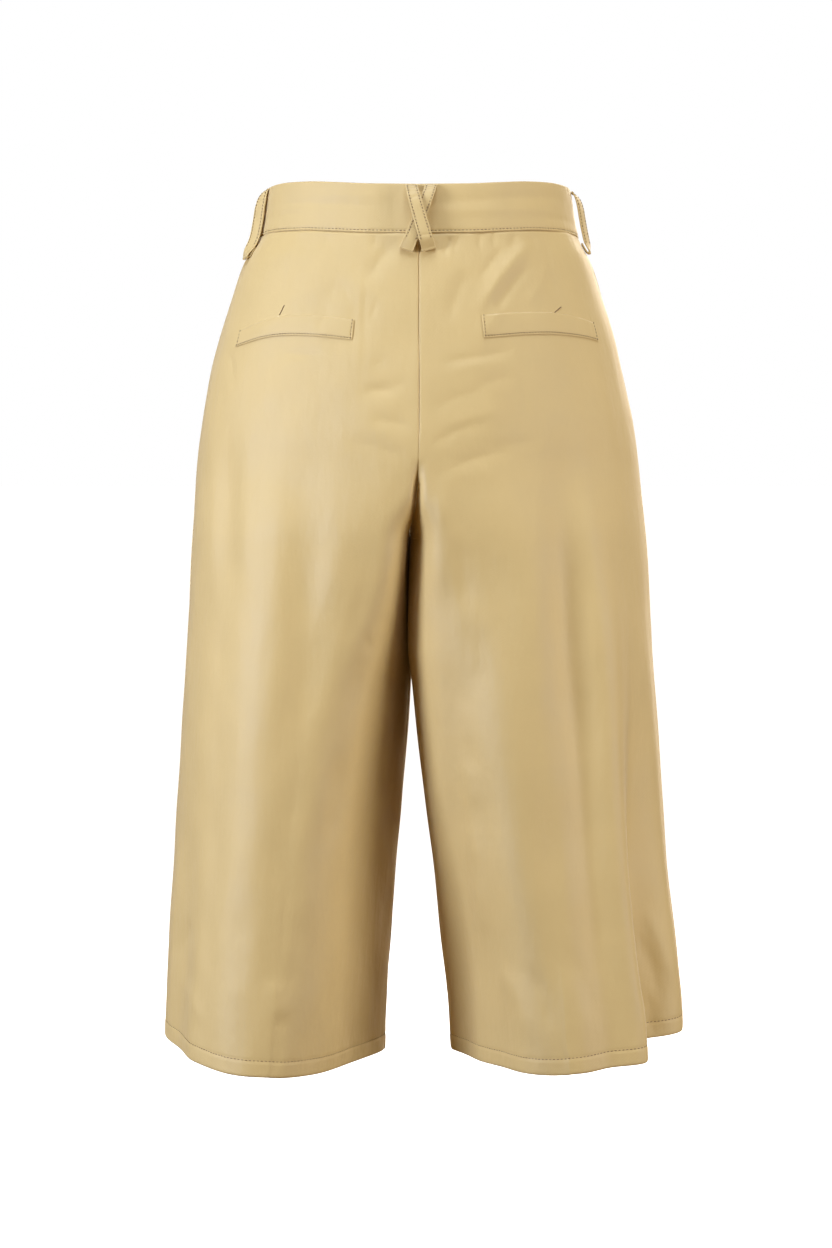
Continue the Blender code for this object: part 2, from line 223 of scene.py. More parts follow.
LOOPS = (
    # name, angle at the top, angle at the bottom, bottom, stand-off, twist
    ("loop_back_under", -4.4, 4.2, -34.5, 6.3, 0.0),
    ("loop_back_over", 2.8, -3.3, -34.5, 9.2, 0.0),
    ("loop_side_left", 79.0, 76.5, -39.5, 4.2, 2.9),
    ("loop_side_right", -87.0, -87.5, -33.0, 5.4, -2.4),
    ("loop_front_left", 152.0, 152.0, -34.5, 5.6, 0.0),
    ("loop_front_right", -152.0, -152.0, -34.5, 5.6, 0.0),
)
LOOP_CREASES = (
    # for each loop: distance from its top, slant, depth
    ((6.0, 0.1, 0.3), (40.0, -0.15, 0.25)),
    ((5.5, 0.08, 0.4), (9.5, 0.12, 0.45), (14.5, 0.2, 0.4), (44.0, -0.1, 0.3)),
    ((12.0, 0.1, 0.2),),
    ((15.0, -0.1, 0.2),),
    ((9.0, 0.1, 0.25), (38.0, -0.1, 0.2)),
    ((11.0, -0.1, 0.25), (41.0, 0.1, 0.2)),
)
STRAP_SHAPE = (
    # share of the way down to the turn, share of the stand-off; the top end is sewn down
    (0.0, -0.14),
    (0.05, 0.38),
    (0.13, 0.76),
    (0.26, 0.97),
    (0.44, 1.0),
    (0.60, 1.0),
    (0.76, 0.98),
    (0.88, 0.85),
)
WELTS = (
    # name, t_inner, t_outer, top at each end, height at each end,
    # rise of the top edge and of the lower edge between the ends
    ("welt_left", 0.206, 0.697, -90.7, -98.5, 16.1, 12.5, 7.4, 5.8),
    ("welt_right", 0.203, 0.703, -87.0, -92.0, 18.5, 14.5, 4.8, 4.0),
)

# The smaller creases: soft troughs (height below 0) and ridges from one place to another.
CREASES = {
    # x0, z0, x1, z1, bow, half_width, height
    "back": (
        # drag lines of the upper back
        (-44, -92, -98, -21, 5, 6, 1.7), (-22, -97, -43, -45, 2, 7, -0.8),
        (-48, -60, -70, -29, 1, 2.8, -0.6), (-83, -81, -106, -39, -4, 4, 0.5),
        (-105, -45, -108, -65, 0, 1.9, -0.4), (-60, -88, -94, -42, 3, 3.2, -1.1),
        (-41, -115, -75, -74, 2, 8, 0.7), (14, -23, 47, -66, -4, 9, -0.9),
        (47, -60, 54, -118, 3, 8, -0.6), (62, -54, 84, -96, -2, 8, -0.7),
        (46, -44, 47, -149, 1, 4, -0.3), (47, -44, 49, -137, 0, 3.2, 0.6),
        (20, -30, 42, -61, -2, 4.5, -0.55), (32, -71, 40, -93, 0, 2.4, -0.45),
        (65, -57, 55, -81, 1, 4, -0.35), (71, -76, 84, -102, 0, 3.2, -0.35),
        (158, -113, 152, -143, 0, 3.2, -0.5), (46, -146, 15, -150, 1, 3, -0.45),
        (41, -128, 25, -124, 0, 2.6, -0.35),
        # puckers under the waistband
        (-26, -20, -19, -41, 0, 2.2, -0.7), (-34, -18, -27, -36, 0, 2.2, -0.6),
        (-50, -17, -49, -33, 0, 2.4, -0.6), (-62, -17, -60, -31, 0, 2.2, -0.5),
        (-78, -17, -76, -33, 0, 2.8, -0.6), (-92, -19, -96, -33, 0, 3.2, -0.4),
        (98, -17, 94, -36, 0, 3.4, -0.35), (77, -17, 74, -33, 0, 3.4, -0.35),
        (35, -18, 37, -34, 0, 3.4, -0.35),
        # under the welts and over the seat
        (117, -115, 75, -117, -2, 2.6, -0.5), (-12, -125, -83, -112, -2, 3.4, -0.7),
        (-9, -139, -82, -124, 4, 7, 0.3), (-39, -146, -82, -137, 2, 5, -0.45),
        (-4, -165, -67, -147, 4, 5, -0.4), (-14, -180, -75, -163, 3, 7, 0.4),
        (-4, -197, -62, -172, 5, 4.5, -0.5), (-45, -192, -101, -187, -2, 5.5, -0.4),
        (-20, -213, -83, -196, 4, 5, -0.5), (-14, -224, -71, -214, 5, 8, 0.4),
        (52, -151, 4, -138, -2, 6, -0.7), (44, -171, 4, -178, 2, 5.5, -0.8),
        (64, -187, 6, -205, 3, 7, -0.6),
        # right leg
        (-27, -262, -38, -330, 3, 8, -1), (-17, -211, -19, -327, 0, 9, 1.6),
        (-44, -332, -48, -399, 3, 8, -0.7), (-35, -396, -40, -440, 2, 7, 0.5),
        (-38, -446, -45, -492, 3, 7, 0.7), (-37, -500, -45, -538, 2, 7, 0.5),
        (-44, -542, -50, -600, 3, 7, 0.6), (-83, -610, -108, -677, 6, 7, -0.8),
        (-66, -615, -91, -686, 5, 8, 1), (-115, -593, -148, -673, 4, 8, -0.6),
        (-185, -570, -220, -659, 2, 7, 0.8), (-185, -600, -207, -674, 2, 6, -0.7),
        (-193, -650, -199, -696, 0, 6, -0.8),
        # left leg
        (38, -252, 54, -357, 2, 10, -1), (64, -431, 76, -530, 2, 9, -0.9),
        (186, -584, 212, -628, 2, 6, -0.7), (204, -634, 172, -674, 2, 6, 0.5),
        (121, -623, 112, -663, 1, 7, 1), (152, -561, 147, -642, 2, 9, -0.8),
        (97, -561, 109, -651, 2, 9, -0.9), (44, -341, 42, -363, 1, 4, -0.5),
    ),
    "front": (
        # pulls from the fly and the side seams, whiskers at the fork
        (20, -34, 74, -92, 3, 8, -0.9), (-26, -30, -68, -84, -3, 7, -0.8),
        (12, -176, 78, -150, -3, 6, -1), (10, -205, 88, -186, -4, 7, -1.1),
        (8, -232, 70, -240, 3, 6, -0.9), (-12, -170, -84, -148, 3, 6, -1),
        (-10, -198, -70, -188, 4, 6, -0.9), (-10, -226, -92, -222, -3, 7, -1.1),
        (54, -330, 62, -470, 3, 9, -1.1), (-58, -350, -70, -520, -3, 9, -1.2),
        (150, -560, 160, -660, 2, 9, -1), (-88, -590, -104, -684, 3, 8, -1.2),
    ),
}
CREASE_FADE = 0.35          # share of a crease over which it fades at each end
CREASE_POWER = 1.6          # how square its section is
SEAM_ROLL = (1.2, 0.5)      # how far from a seam the cloth rolls in, and by how much
CENTRE_ROLL = 1.6           # how much more it does so at the centre seams
CENTRE_FLAT = (-179.0, 14.0, -276.0, 6.0)   # where it doesn't: top and fade, bottom and fade
TOP_ROLL = (2.0, 1.0)       # the same under the waistband
HEM_ROLL = (1.5, 0.5)       # the same at the hem's edge
ALLOWANCE = 12.0            # the folded allowance of the side seam, under the cloth
ALLOWANCE_FADE = 4.0
ALLOWANCE_RISE = 0.15
HEM_FADE = 2.4              # the hem's three layers of cloth stand out
HEM_RISE = 0.2
HEM_GROOVE = (1.1, 0.35)    # a stitching's groove: half its width, and its depth
BAND_GROOVE = (0.9, 0.5)
STRAP_GROOVE = (0.7, 0.3)
WELT_GROOVE = (0.7, 0.3)
WELT_ROLL = (1.1, 0.45)
WELT_FULLNESS = 0.25
WELT_FOLD = (3.0, 2.0)      # its folded top edge isn't stitched: how far, and the fade
WELT_COUNTS = (121, 25)
WELT_CROWDING = 0.6
FINE_STITCH = {"pitch": 0.0026, "length": 0.0018}       # metres, for the small pieces
TACK_STITCH = {"pitch": 0.0008, "length": 0.0012, "thickness": 0.0009}
HEM_PUCKERS = (3.1, 1.7, 19.0)      # spacing, unevenness and how soon that comes again
HEM_PUCKER_REACH = 6.0
BAND_PUCKERS = (1.0 / 1.9, 1.3, 5.0)
BAND_PUCKER_REACH = 3.5
BAND_PUCKER_LEVEL = 2.0
PUCKER_HEIGHT = 0.16
WAVES = {"shortest": 26.0, "longest": 120.0}
WAVE_COUNT = 14
WAVE_SEEDS = {
    ("back", "left"): 19,
    ("back", "right"): 20,
    ("front", "left"): 20,
    ("front", "right"): 21,
}
BAND_WAVES = 0.2
BAND_PULL = (-0.5, 9.0, 3.5, 0.5)   # beside the crossed loops: middle, distance, width, depth
BAND_STITCH = 1.9           # the waistband's edge stitching above its seam
BAND_RIPPLES = (
    # angle of the middle, height, rise per degree, reach in degrees, half_width, height
    (-38.0, 7.0, -0.02, 27.0, 4.5, -0.55),
    (-33.0, -3.0, 0.03, 24.0, 4.0, 0.45),
    (-62.0, -10.0, 0.04, 14.0, 3.0, -0.3),
    (38.0, 2.0, 0.03, 24.0, 3.5, -0.4),
    (24.0, 10.0, -0.05, 15.0, 3.5, 0.3),
    (61.0, -7.0, -0.05, 16.0, 3.5, -0.3),
    (128.0, 4.0, 0.04, 25.0, 4.0, -0.4),
    (-120.0, -2.0, -0.04, 28.0, 4.0, -0.45),
    (-148.0, 8.0, 0.05, 15.0, 3.5, 0.3),
)
DART_TACKS = (
    # x, z at each end of the short dark tacks over the welts
    (113.5, -86.5, 110.0, -79.5),
    (-111.0, -84.5, -116.0, -80.5),
)
DARTS = (
    # x, z where each starts and ends
    (102.0, -14.0, 112.0, -84.0),
    (-103.0, -14.0, -113.0, -82.0),
)
DART_HALF = 1.7
DART_DEPTH = 0.45
DART_FULLNESS = 0.35         # the cloth swells this much just over a dart's end
DART_SWELL_UP = 4.0
DART_SWELL_REACH = 16.0

SIDES = {"left": 1.0, "right": -1.0}
FACES = {"back": 1.0, "front": -1.0}


# ---- settings a user would change --------------------------------------------------------
class ShortsCloth(bpy.types.PropertyGroup):
    """The cloth and how it lies."""
    colour: bpy.props.StringProperty(
        name="Cloth colour", description="Khaki cotton, as an sRGB hex value", default="C8AB68")
    warp_pitch: bpy.props.FloatProperty(
        name="Twill pitch", description="Distance between two twill lines",
        default=0.0011, unit="LENGTH")
    crease_share: bpy.props.FloatProperty(
        name="Creases", description="Depth of the small creases", default=1.6,
        min=0.0, max=2.0, subtype="FACTOR")
    undulation: bpy.props.FloatProperty(
        name="Waviness", description="Height of the cloth's slow waves",
        default=0.0005, unit="LENGTH")


class ShortsSewing(bpy.types.PropertyGroup):
    """The stitches."""
    # The thread colour is darker than the cloth: partly the thread's own tone, partly painted shade
    # of the needle holes along the stitching.
    colour: bpy.props.StringProperty(
        name="Thread colour", description="Sewing thread, as an sRGB hex value",
        default="74562C")
    pitch: bpy.props.FloatProperty(
        name="Stitch pitch", description="Distance from one stitch to the next",
        default=0.0032, unit="LENGTH")
    length: bpy.props.FloatProperty(
        name="Stitch length", description="Length of thread that shows in a stitch",
        default=0.0022, unit="LENGTH")
    thickness: bpy.props.FloatProperty(
        name="Thread thickness", description="Width of the thread", default=0.0007,
        unit="LENGTH")
    hem_depth: bpy.props.FloatProperty(
        name="Hem depth", description="Height of the hem's stitching above its edge",
        default=0.0135, unit="LENGTH")
    edge: bpy.props.FloatProperty(
        name="Edge distance", description="Distance of an edge stitch from the edge",
        default=0.0016, unit="LENGTH")


class ShortsTrims(bpy.types.PropertyGroup):
    """The button and the zip."""
    button_colour: bpy.props.StringProperty(
        name="Button colour", description="Horn-like resin, as an sRGB hex value",
        default="9A7B50")
    tape_colour: bpy.props.StringProperty(
        name="Zip colour", description="Zip tape, as an sRGB hex value", default="C6AF82")
    tooth_pitch: bpy.props.FloatProperty(
        name="Zip tooth pitch", description="Distance between two turns of the zip's coil",
        default=0.0015, unit="LENGTH")


class ShortsStage(bpy.types.PropertyGroup):
    """The studio."""
    floor_level: bpy.props.FloatProperty(
        name="Floor", description="Height of the floor under the waist", default=-1.08,
        unit="LENGTH")
    key_power: bpy.props.FloatProperty(
        name="Key light", description="Power of the soft light at the left", default=67.0,
        unit="POWER")
    surround: bpy.props.FloatProperty(
        name="Surround", description="Strength of the even light from all round", default=0.17,
        min=0.0)


# ---- the form of the cloth with its large folds, on the solids' outline -------------------
def at_height(rows, column, z):
    """One column of a table at height z, on a smooth curve that doesn't overshoot the rows."""
    heights = np.array([row[0] for row in rows])[::-1]
    values = np.array([row[column] for row in rows])[::-1]
    spans = np.diff(heights)
    rises = np.diff(values) / spans
    product = rises[:-1] * rises[1:]
    total = rises[:-1] + rises[1:]
    inner = np.where(product > 0.0, 2.0 * product / np.where(product > 0.0, total, 1.0), 0.0)
    slopes = np.concatenate([rises[:1], inner, rises[-1:]])
    z = np.clip(z, heights[0], heights[-1])
    k = np.clip(np.searchsorted(heights, z) - 1, 0, len(spans) - 1)
    s = (z - heights[k]) / spans[k]
    return (
        values[k] * (1.0 + 2.0 * s) * (1.0 - s) ** 2
        + spans[k] * slopes[k] * s * (1.0 - s) ** 2
        + values[k + 1] * s * s * (3.0 - 2.0 * s)
        + spans[k] * slopes[k + 1] * s * s * (s - 1.0)
    )


def ease(share):
    """A smooth step from 0 to 1."""
    share = np.clip(share, 0.0, 1.0)
    return share * share * (3.0 - 2.0 * share)


def between(z, levels):
    """0 above the first of four levels, 1 from the second to the third, 0 below the last."""
    start, full, fade, end = levels
    return ease((start - z) / (start - full)) * ease((z - end) / (fade - end))


def fold_height(face, side, from_seam, z):
    """How far the large folds lift the cloth, or sink it, at a distance from the side seam."""
    lift = np.zeros_like(z)
    for s_start, s_hem, z_start, z_full, z_end, half, height in FOLDS[face, side]:
        middle = s_start + (s_hem - s_start) * (z_start - z) / (z_start - HEM_LEVEL)
        across = np.clip((from_seam - middle) / half, -1.0, 1.0)
        along = ease((z_start - z) / (z_start - z_full)) * ease((z - z_end) / (z_full - z_end))
        lift += height * along * np.cos(across * math.pi / 2.0) ** 2
    return lift


def waist_rise(angle, z):
    """How far the cloth is raised near the waist, at an angle from the centre back."""
    starts, ends = RISE_FADES
    from_back = 180.0 - np.abs(180.0 - np.abs(angle))
    return at_height(WAIST_RISE, 1, from_back) * ease((z - ends) / (starts - ends))


def cloth(face, side, t, z):
    """Outer surface of a panel at t along its section, at height z, with its large folds.

    Returns the points, and the distance along the cloth from the side seam.
    """
    t, z = np.broadcast_arrays(np.asarray(t, float), np.asarray(z, float))
    edge = SEWN_GAP / 2.0
    wide = at_height(SILHOUETTE, 1 if side == "left" else 2, z)
    deep = at_height(DEPTHS, 1 if face == "back" else 2, z)
    down = np.clip((SEAT_TOP - z) / (SEAT_TOP - FORK), 0.0, 1.0)
    slowed = down * (3.0 - 2.0 * down - FORK_SLOPE * (1.0 - down))
    turn = down * slowed
    below = z < FORK
    middle = np.where(below, at_height(LEGS, 1, z), LEG_AT_FORK * turn)
    spread = 1.0 - FORK_SLOPE * (1.0 - down)
    reach = np.where(below, middle - at_height(LEGS, 2, z), LEG_AT_FORK * spread)
    share_in = at_height(INSIDES, 1, z) * slowed
    power_in = at_height(INSIDES, 2, z)
    if face == "back":
        power_in = power_in * (1.0 - at_height(PRESSED, 1 if side == "left" else 2, z))
    inside = t < share_in
    part_in = t / np.where(share_in > 0.0, share_in, 1.0)
    part_out = (t - share_in) / (1.0 - share_in)
    first = np.arccos((turn / spread) ** (1.0 / power_in))
    angle = np.where(
        inside,
        first + (QUARTER - first) * part_in,
        QUARTER * (1.0 - part_out),
    )
    angle = np.clip(angle, 1e-4, QUARTER - 1e-4)
    power = np.where(inside, power_in, 1.0)
    way = np.where(inside, -1.0, 1.0)
    radius = np.where(inside, reach, wide - middle)
    x = middle + way * radius * np.cos(angle) ** power
    y = deep * np.sin(angle) ** power
    normal_x = way * deep * np.sin(angle) ** (power - 1.0) * np.cos(angle)
    normal_y = radius * np.cos(angle) ** (power - 1.0) * np.sin(angle)
    size = np.hypot(normal_x, normal_y)
    round_outside = np.hypot(wide - middle, deep)
    round_inside = np.hypot(reach, deep)
    from_seam = np.where(
        inside,
        QUARTER * round_outside + (QUARTER - angle) * round_inside,
        angle * round_outside,
    ) / math.sqrt(2.0)
    lift = fold_height(face, side, from_seam, z)
    x = edge + x * (wide - edge) / wide + lift * normal_x / size
    y = edge + y * (deep - edge) / deep + lift * normal_y / size
    if face == "back":
        y = y - TROUGH_DEPTH * between(z, TROUGH_LEVELS) * np.exp(-(x / TROUGH_HALF) ** 2)
    x, y = x * SIDES[side], y * FACES[face]
    bend = SLIT_BEND * np.sin(2.0 * math.pi * y / SLIT_DEPTH) * ease((SEAT_TOP - z) / SLIT_FADE)
    x = x + (at_height(LEAN, 1, z) + bend) * np.exp(-(x / LEAN_REACH) ** 2)
    round_waist = 90.0 - FACES[face] * 90.0 * (1.0 - t)
    points = np.stack([x, y, z + waist_rise(round_waist, z)], axis=-1)
    return points, from_seam


def t_at(side, x, z):
    """Where on a panel above the fork a point lies, from its x and z."""
    wide = at_height(SILHOUETTE, 1 if side == "left" else 2, z)
    return np.arcsin(np.abs(x) / wide) / QUARTER


def row_height(side, t, v):
    """Height on a panel: rows follow the inner edge at t = 0 and the side seam at t = 1."""
    top = BAND_BOTTOM + TOP_TUCK
    hem_inside, hem_side = HEMS[side]
    turn = np.clip((v - V_SEAT) / (V_FORK - V_SEAT), 0.0, 1.0) * QUARTER
    leg = np.clip((v - V_FORK) / (1.0 - V_FORK), 0.0, 1.0)
    edge = np.where(
        v < V_SEAT,
        top + (SEAT_TOP - top) * v / V_SEAT,
        SEAT_TOP + (FORK - SEAT_TOP) * np.sin(turn) + (hem_inside - FORK) * leg,
    )
    side_seam = top + (hem_side - top) * v
    return edge + (side_seam - edge) * t * t


def waist(angle, z, out):
    """A point round the waist, moved out. Angle in degrees from the centre back to the left."""
    turn = np.radians(angle)
    wide = np.where(np.sin(turn) > 0.0, at_height(SILHOUETTE, 1, z), at_height(SILHOUETTE, 2, z))
    deep = np.where(np.cos(turn) > 0.0, at_height(DEPTHS, 1, z), at_height(DEPTHS, 2, z))
    normal = np.stack([np.sin(turn) / wide, np.cos(turn) / deep], axis=-1)
    normal /= np.linalg.norm(normal, axis=-1, keepdims=True)
    x = wide * np.sin(turn) + out * normal[..., 0]
    y = deep * np.cos(turn) + out * normal[..., 1]
    return np.stack([x, y, z + waist_rise(angle, z)], axis=-1)


# ---- the fine form that scene adds -------------------------------------------------------
def roll_in(distance, reach, depth):
    """How the cloth rolls in towards an edge or a seam, at a distance from it."""
    return -depth * np.clip(1.0 - distance / reach, 0.0, 1.0) ** 2


def groove(distance, half, depth):
    """The soft groove that a row of stitches pulls into the cloth."""
    return -depth * np.exp(-(distance / half) ** 2)


def puckers(run, spacing, unevenness, again):
    """Uneven puckers, 1 high, along a seam."""
    return np.sin(run / spacing + unevenness * np.sin(run / again))


def slow_waves(a, b, seed, shortest, longest, count=9):
    """A gentle uneven waviness, about 1 high, over two coordinates in millimetres."""
    draw = np.random.default_rng(seed)
    total = np.zeros_like(a)
    for _ in range(count):
        length = draw.uniform(shortest, longest)
        way = draw.uniform(0.0, math.pi)
        phase = draw.uniform(0.0, 2.0 * math.pi)
        total += np.sin(2.0 * math.pi * (a * math.cos(way) + b * math.sin(way)) / length + phase)
    return total / math.sqrt(count)


def crease_height(x, z, x0, z0, x1, z1, bow, half, height):
    """One soft crease from (x0, z0) to (x1, z1), bowed sideways between its ends."""
    run, drop = x1 - x0, z1 - z0
    length = math.hypot(run, drop)
    along = ((x - x0) * run + (z - z0) * drop) / length ** 2
    across = ((x - x0) * drop - (z - z0) * run) / length
    across = across - bow * 4.0 * along * (1.0 - along)
    ends = ease(along / CREASE_FADE) * ease((1.0 - along) / CREASE_FADE)
    return height * ends * np.exp(-np.abs(across / half) ** CREASE_POWER)


def panel_relief(face, side, t, z):
    """Everything finer than the large folds: creases, hem, seam edges and darts."""
    settings = bpy.context.scene.shorts_cloth
    points, from_side = cloth(face, side, t, z)
    x, height = points[..., 0], points[..., 2]
    from_inner = cloth(face, side, np.zeros_like(from_side), z)[1] - from_side
    lift = settings.undulation / MM * slow_waves(
        from_side, 0.5 * height, WAVE_SEEDS[face, side], **WAVES, count=WAVE_COUNT)
    for crease in CREASES[face]:
        lift = lift + settings.crease_share * crease_height(x, height, *crease)
    if face == "back":
        for x0, z0, x1, z1 in DARTS:
            lift = lift + crease_height(x, height, x0, z0, x1, z1, 0.0, DART_HALF, -DART_DEPTH)
            end = np.hypot(x - x1, height - z1 + DART_SWELL_UP) / DART_SWELL_REACH
            lift = lift + DART_FULLNESS * np.exp(-end ** 2)
    flat_top, top_fade, flat_bottom, bottom_fade = CENTRE_FLAT
    flat = ease((flat_top - z) / top_fade) * ease((z - flat_bottom) / bottom_fade)
    above_hem = z - row_height(side, t, 1.0)
    over_stitches = above_hem - bpy.context.scene.shorts_sewing.hem_depth / MM
    near_stitches = np.exp(-(over_stitches / HEM_PUCKER_REACH) ** 2)
    return (
        lift
        + ALLOWANCE_RISE * ease((ALLOWANCE - from_side) / ALLOWANCE_FADE)
        + CENTRE_ROLL * (1.0 - flat) * roll_in(from_inner, *SEAM_ROLL)
        + roll_in(from_side, *SEAM_ROLL)
        + roll_in(BAND_BOTTOM - SEAM_GAP - z, *TOP_ROLL)
        + HEM_RISE * ease(-over_stitches / HEM_FADE)
        + groove(over_stitches, *HEM_GROOVE)
        + PUCKER_HEIGHT * puckers(from_side, *HEM_PUCKERS) * near_stitches
        + roll_in(above_hem, *HEM_ROLL)
    )


def panel_point(face, side, t, z, out=0.0):
    """A point on a dressed panel, moved out along its normal."""
    t, z = np.broadcast_arrays(np.asarray(t, float), np.asarray(z, float))
    point = cloth(face, side, t, z)[0]
    along = cloth(face, side, t + 1e-3, z)[0] - cloth(face, side, t - 1e-3, z)[0]
    down = cloth(face, side, t, z - 1.0)[0] - point
    normal = np.cross(along, down) * SIDES[side] * FACES[face]
    normal /= np.linalg.norm(normal, axis=-1, keepdims=True)
    lift = panel_relief(face, side, t, z) + out
    return point + normal * lift[..., None]


def band_relief(angle, z):
    """The waistband's soft puckers above its stitching, its ripples and its slow waves."""
    above_seam = z - BAND_BOTTOM
    near_seam = np.exp(-((above_seam - BAND_PUCKER_LEVEL) / BAND_PUCKER_REACH) ** 2)
    middle, distance, width, depth = BAND_PULL
    lift = (
        PUCKER_HEIGHT * puckers(angle, *BAND_PUCKERS) * near_seam
        + groove(above_seam - BAND_STITCH, *BAND_GROOVE)
        + groove(np.abs(angle - middle) - distance, width, depth)
        + BAND_WAVES * slow_waves(angle * BAND_SCALE, z, 5, **WAVES)
    )
    for middle, level, slope, reach, half, height in BAND_RIPPLES:
        drift = level + slope * (angle - middle)
        along = np.exp(-((angle - middle) / reach) ** 4)
        lift = lift + height * along * np.exp(-((z - drift) / half) ** 2)
    return lift


# ---- meshes ------------------------------------------------------------------------------
def linear(code):
    """An sRGB hex value as linear red, green, blue and alpha."""
    parts = [int(code[k:k + 2], 16) / 255.0 for k in (0, 2, 4)]
    values = [c / 12.92 if c <= 0.04045 else ((c + 0.055) / 1.055) ** 2.4 for c in parts]
    return (*values, 1.0)


def add_piece(name, mesh, material):
    """A finished mesh as an object at the origin."""
    piece = bpy.data.objects.new(name, mesh)
    bpy.context.scene.collection.objects.link(piece)
    mesh.materials.clear()
    mesh.materials.append(material)
    mesh.shade_smooth()
    return piece


def grid_mesh(name, points, uv, closed_across=False, flip=False):
    """A mesh on a grid of points (rows, columns, 3) in millimetres, with a UV map in metres."""
    rows, columns = points.shape[:2]
    index = np.arange(rows * columns).reshape(rows, columns)
    right = np.roll(index, -1, axis=1)
    last = columns if closed_across else columns - 1
    faces = np.stack(
        [index[:-1, :last], index[1:, :last], right[1:, :last], right[:-1, :last]], axis=-1)
    faces = faces.reshape(-1, 4)
    if flip:
        faces = faces[:, ::-1]
    mesh = bpy.data.meshes.new(name)
    mesh.from_pydata((points.reshape(-1, 3) * MM).tolist(), [], faces.tolist())
    layer = mesh.uv_layers.new(name="cloth")
    corners = np.zeros(len(mesh.loops), dtype=np.int32)
    mesh.loops.foreach_get("vertex_index", corners)
    layer.data.foreach_set("uv", (uv.reshape(-1, 2) * MM)[corners].ravel())
    return mesh


def give_wall(mesh, thickness):
    """The mesh as a closed wall, thickened inwards."""
    piece = bpy.data.objects.new("wall", mesh)
    bpy.context.scene.collection.objects.link(piece)
    solidify = piece.modifiers.new("wall", "SOLIDIFY")
    solidify.thickness = thickness * MM
    solidify.offset = -1.0
    solidify.use_quality_normals = True
    graph = bpy.context.evaluated_depsgraph_get()
    solid = bpy.data.meshes.new_from_object(piece.evaluated_get(graph))
    bpy.data.objects.remove(piece, do_unlink=True)
    return solid


def in_order(mesh):
    """The same mesh with its corners and faces in one fixed order, which a cut leaves open."""
    places = [tuple(corner.co) for corner in mesh.vertices]
    order = sorted(range(len(places)), key=lambda k: places[k])
    rank = {old: new for new, old in enumerate(order)}
    faces = []
    for polygon in mesh.polygons:
        corners = [rank[k] for k in polygon.vertices]
        first = corners.index(min(corners))
        faces.append(corners[first:] + corners[:first])
    ordered = bpy.data.meshes.new(mesh.name)
    ordered.from_pydata([places[k] for k in order], [], sorted(faces))
    return ordered


def close_ends(mesh):
    """Closes the open ends of a swept piece."""
    work = bmesh.new()
    work.from_mesh(mesh)
    bmesh.ops.holes_fill(work, edges=work.edges)
    bmesh.ops.recalc_face_normals(work, faces=work.faces)
    work.to_mesh(mesh)
    work.free()


def rounded_section(half_wide, half_tall, radius, steps):
    """A rectangle with round corners, as points (wide, tall) all the way round."""
    points = []
    for way_w, way_t, start in ((1, 1, 0), (-1, 1, 1), (-1, -1, 2), (1, -1, 3)):
        for k in range(4):
            angle = (start + k / 3.0) * QUARTER
            points.append((
                way_w * (half_wide - radius) + radius * math.cos(angle),
                way_t * (half_tall - radius) + radius * math.sin(angle),
            ))
    corners = np.array(points + points[:1])
    dense = [corners[0]]
    for a, b in zip(corners[:-1], corners[1:]):
        count = max(1, int(np.linalg.norm(b - a) / steps))
        dense.extend(a + (b - a) * k / count for k in range(1, count + 1))
    return np.array(dense[:-1])


def smooth_path(points, count):
    """Evenly spaced points on a smooth curve through the given ones."""
    padded = np.vstack([2 * points[0] - points[1], points, 2 * points[-1] - points[-2]])
    dense = []
    for a, b, c, d in zip(padded, padded[1:], padded[2:], padded[3:]):
        for s in np.linspace(0.0, 1.0, 12, endpoint=False):
            dense.append(0.5 * (
                2.0 * b + (c - a) * s + (2.0 * a - 5.0 * b + 4.0 * c - d) * s * s
                + (3.0 * b - a - 3.0 * c + d) * s ** 3))
    dense.append(points[-1])
    dense = np.array(dense)
    run = np.concatenate([[0.0], np.cumsum(np.linalg.norm(np.diff(dense[:, :2], axis=0), axis=1))])
    even = np.linspace(0.0, run[-1], count)
    return np.stack([np.interp(even, run, dense[:, k]) for k in range(dense.shape[1])], axis=1)


# ---- materials ---------------------------------------------------------------------------
def node(tree, kind, values=None, links=None, **settings):
    """Adds one node with its settings, its input values and its links."""
    made = tree.nodes.new(kind)
    for name, value in settings.items():
        setattr(made, name, value)
    for name, value in (values or {}).items():
        made.inputs[name].default_value = value
    for name, source in (links or {}).items():
        tree.links.new(source, made.inputs[name])
    return made


def blank_material(name, finish):
    """A material with a Principled BSDF on its output, set to the values of a finish."""
    material = bpy.data.materials.new(name)
    material.use_nodes = True
    tree = material.node_tree
    tree.nodes.clear()
    shader = node(tree, "ShaderNodeBsdfPrincipled", finish)
    node(tree, "ShaderNodeOutputMaterial", links={"Surface": shader.outputs["BSDF"]})
    return material, tree, shader


WAVE_PERIOD = 1.0 / 3.18    # metres from one band of a Wave texture of scale 1 to the next
TWILL_SLANT = math.radians(62.0)
SHEEN_COLOUR = "FFF4E0"
TAPE_RIB = 0.00083          # metres from rib to rib of the zip's tape
GRAIN = {
    # patches to a metre of each uneven pattern
    "fibre": 1400.0,        # flecks of single fibres, 0.7 mm
    "slub": 26.0,           # uneven yarn and dye, 38 mm
    "handled": 120.0,       # marks of handling, 8 mm
    "pulled": 42.0,         # soft pulls down the cloth, 24 mm wide and three times as long
    "twist": 900.0,         # the thread's twist, 1.1 mm
}


def tones(code, dark, light):
    """A colour's darker and lighter tone."""
    colour = linear(code)[:3]
    return [(*[min(1.0, c * share) for c in colour], 1.0) for share in (dark, light)]


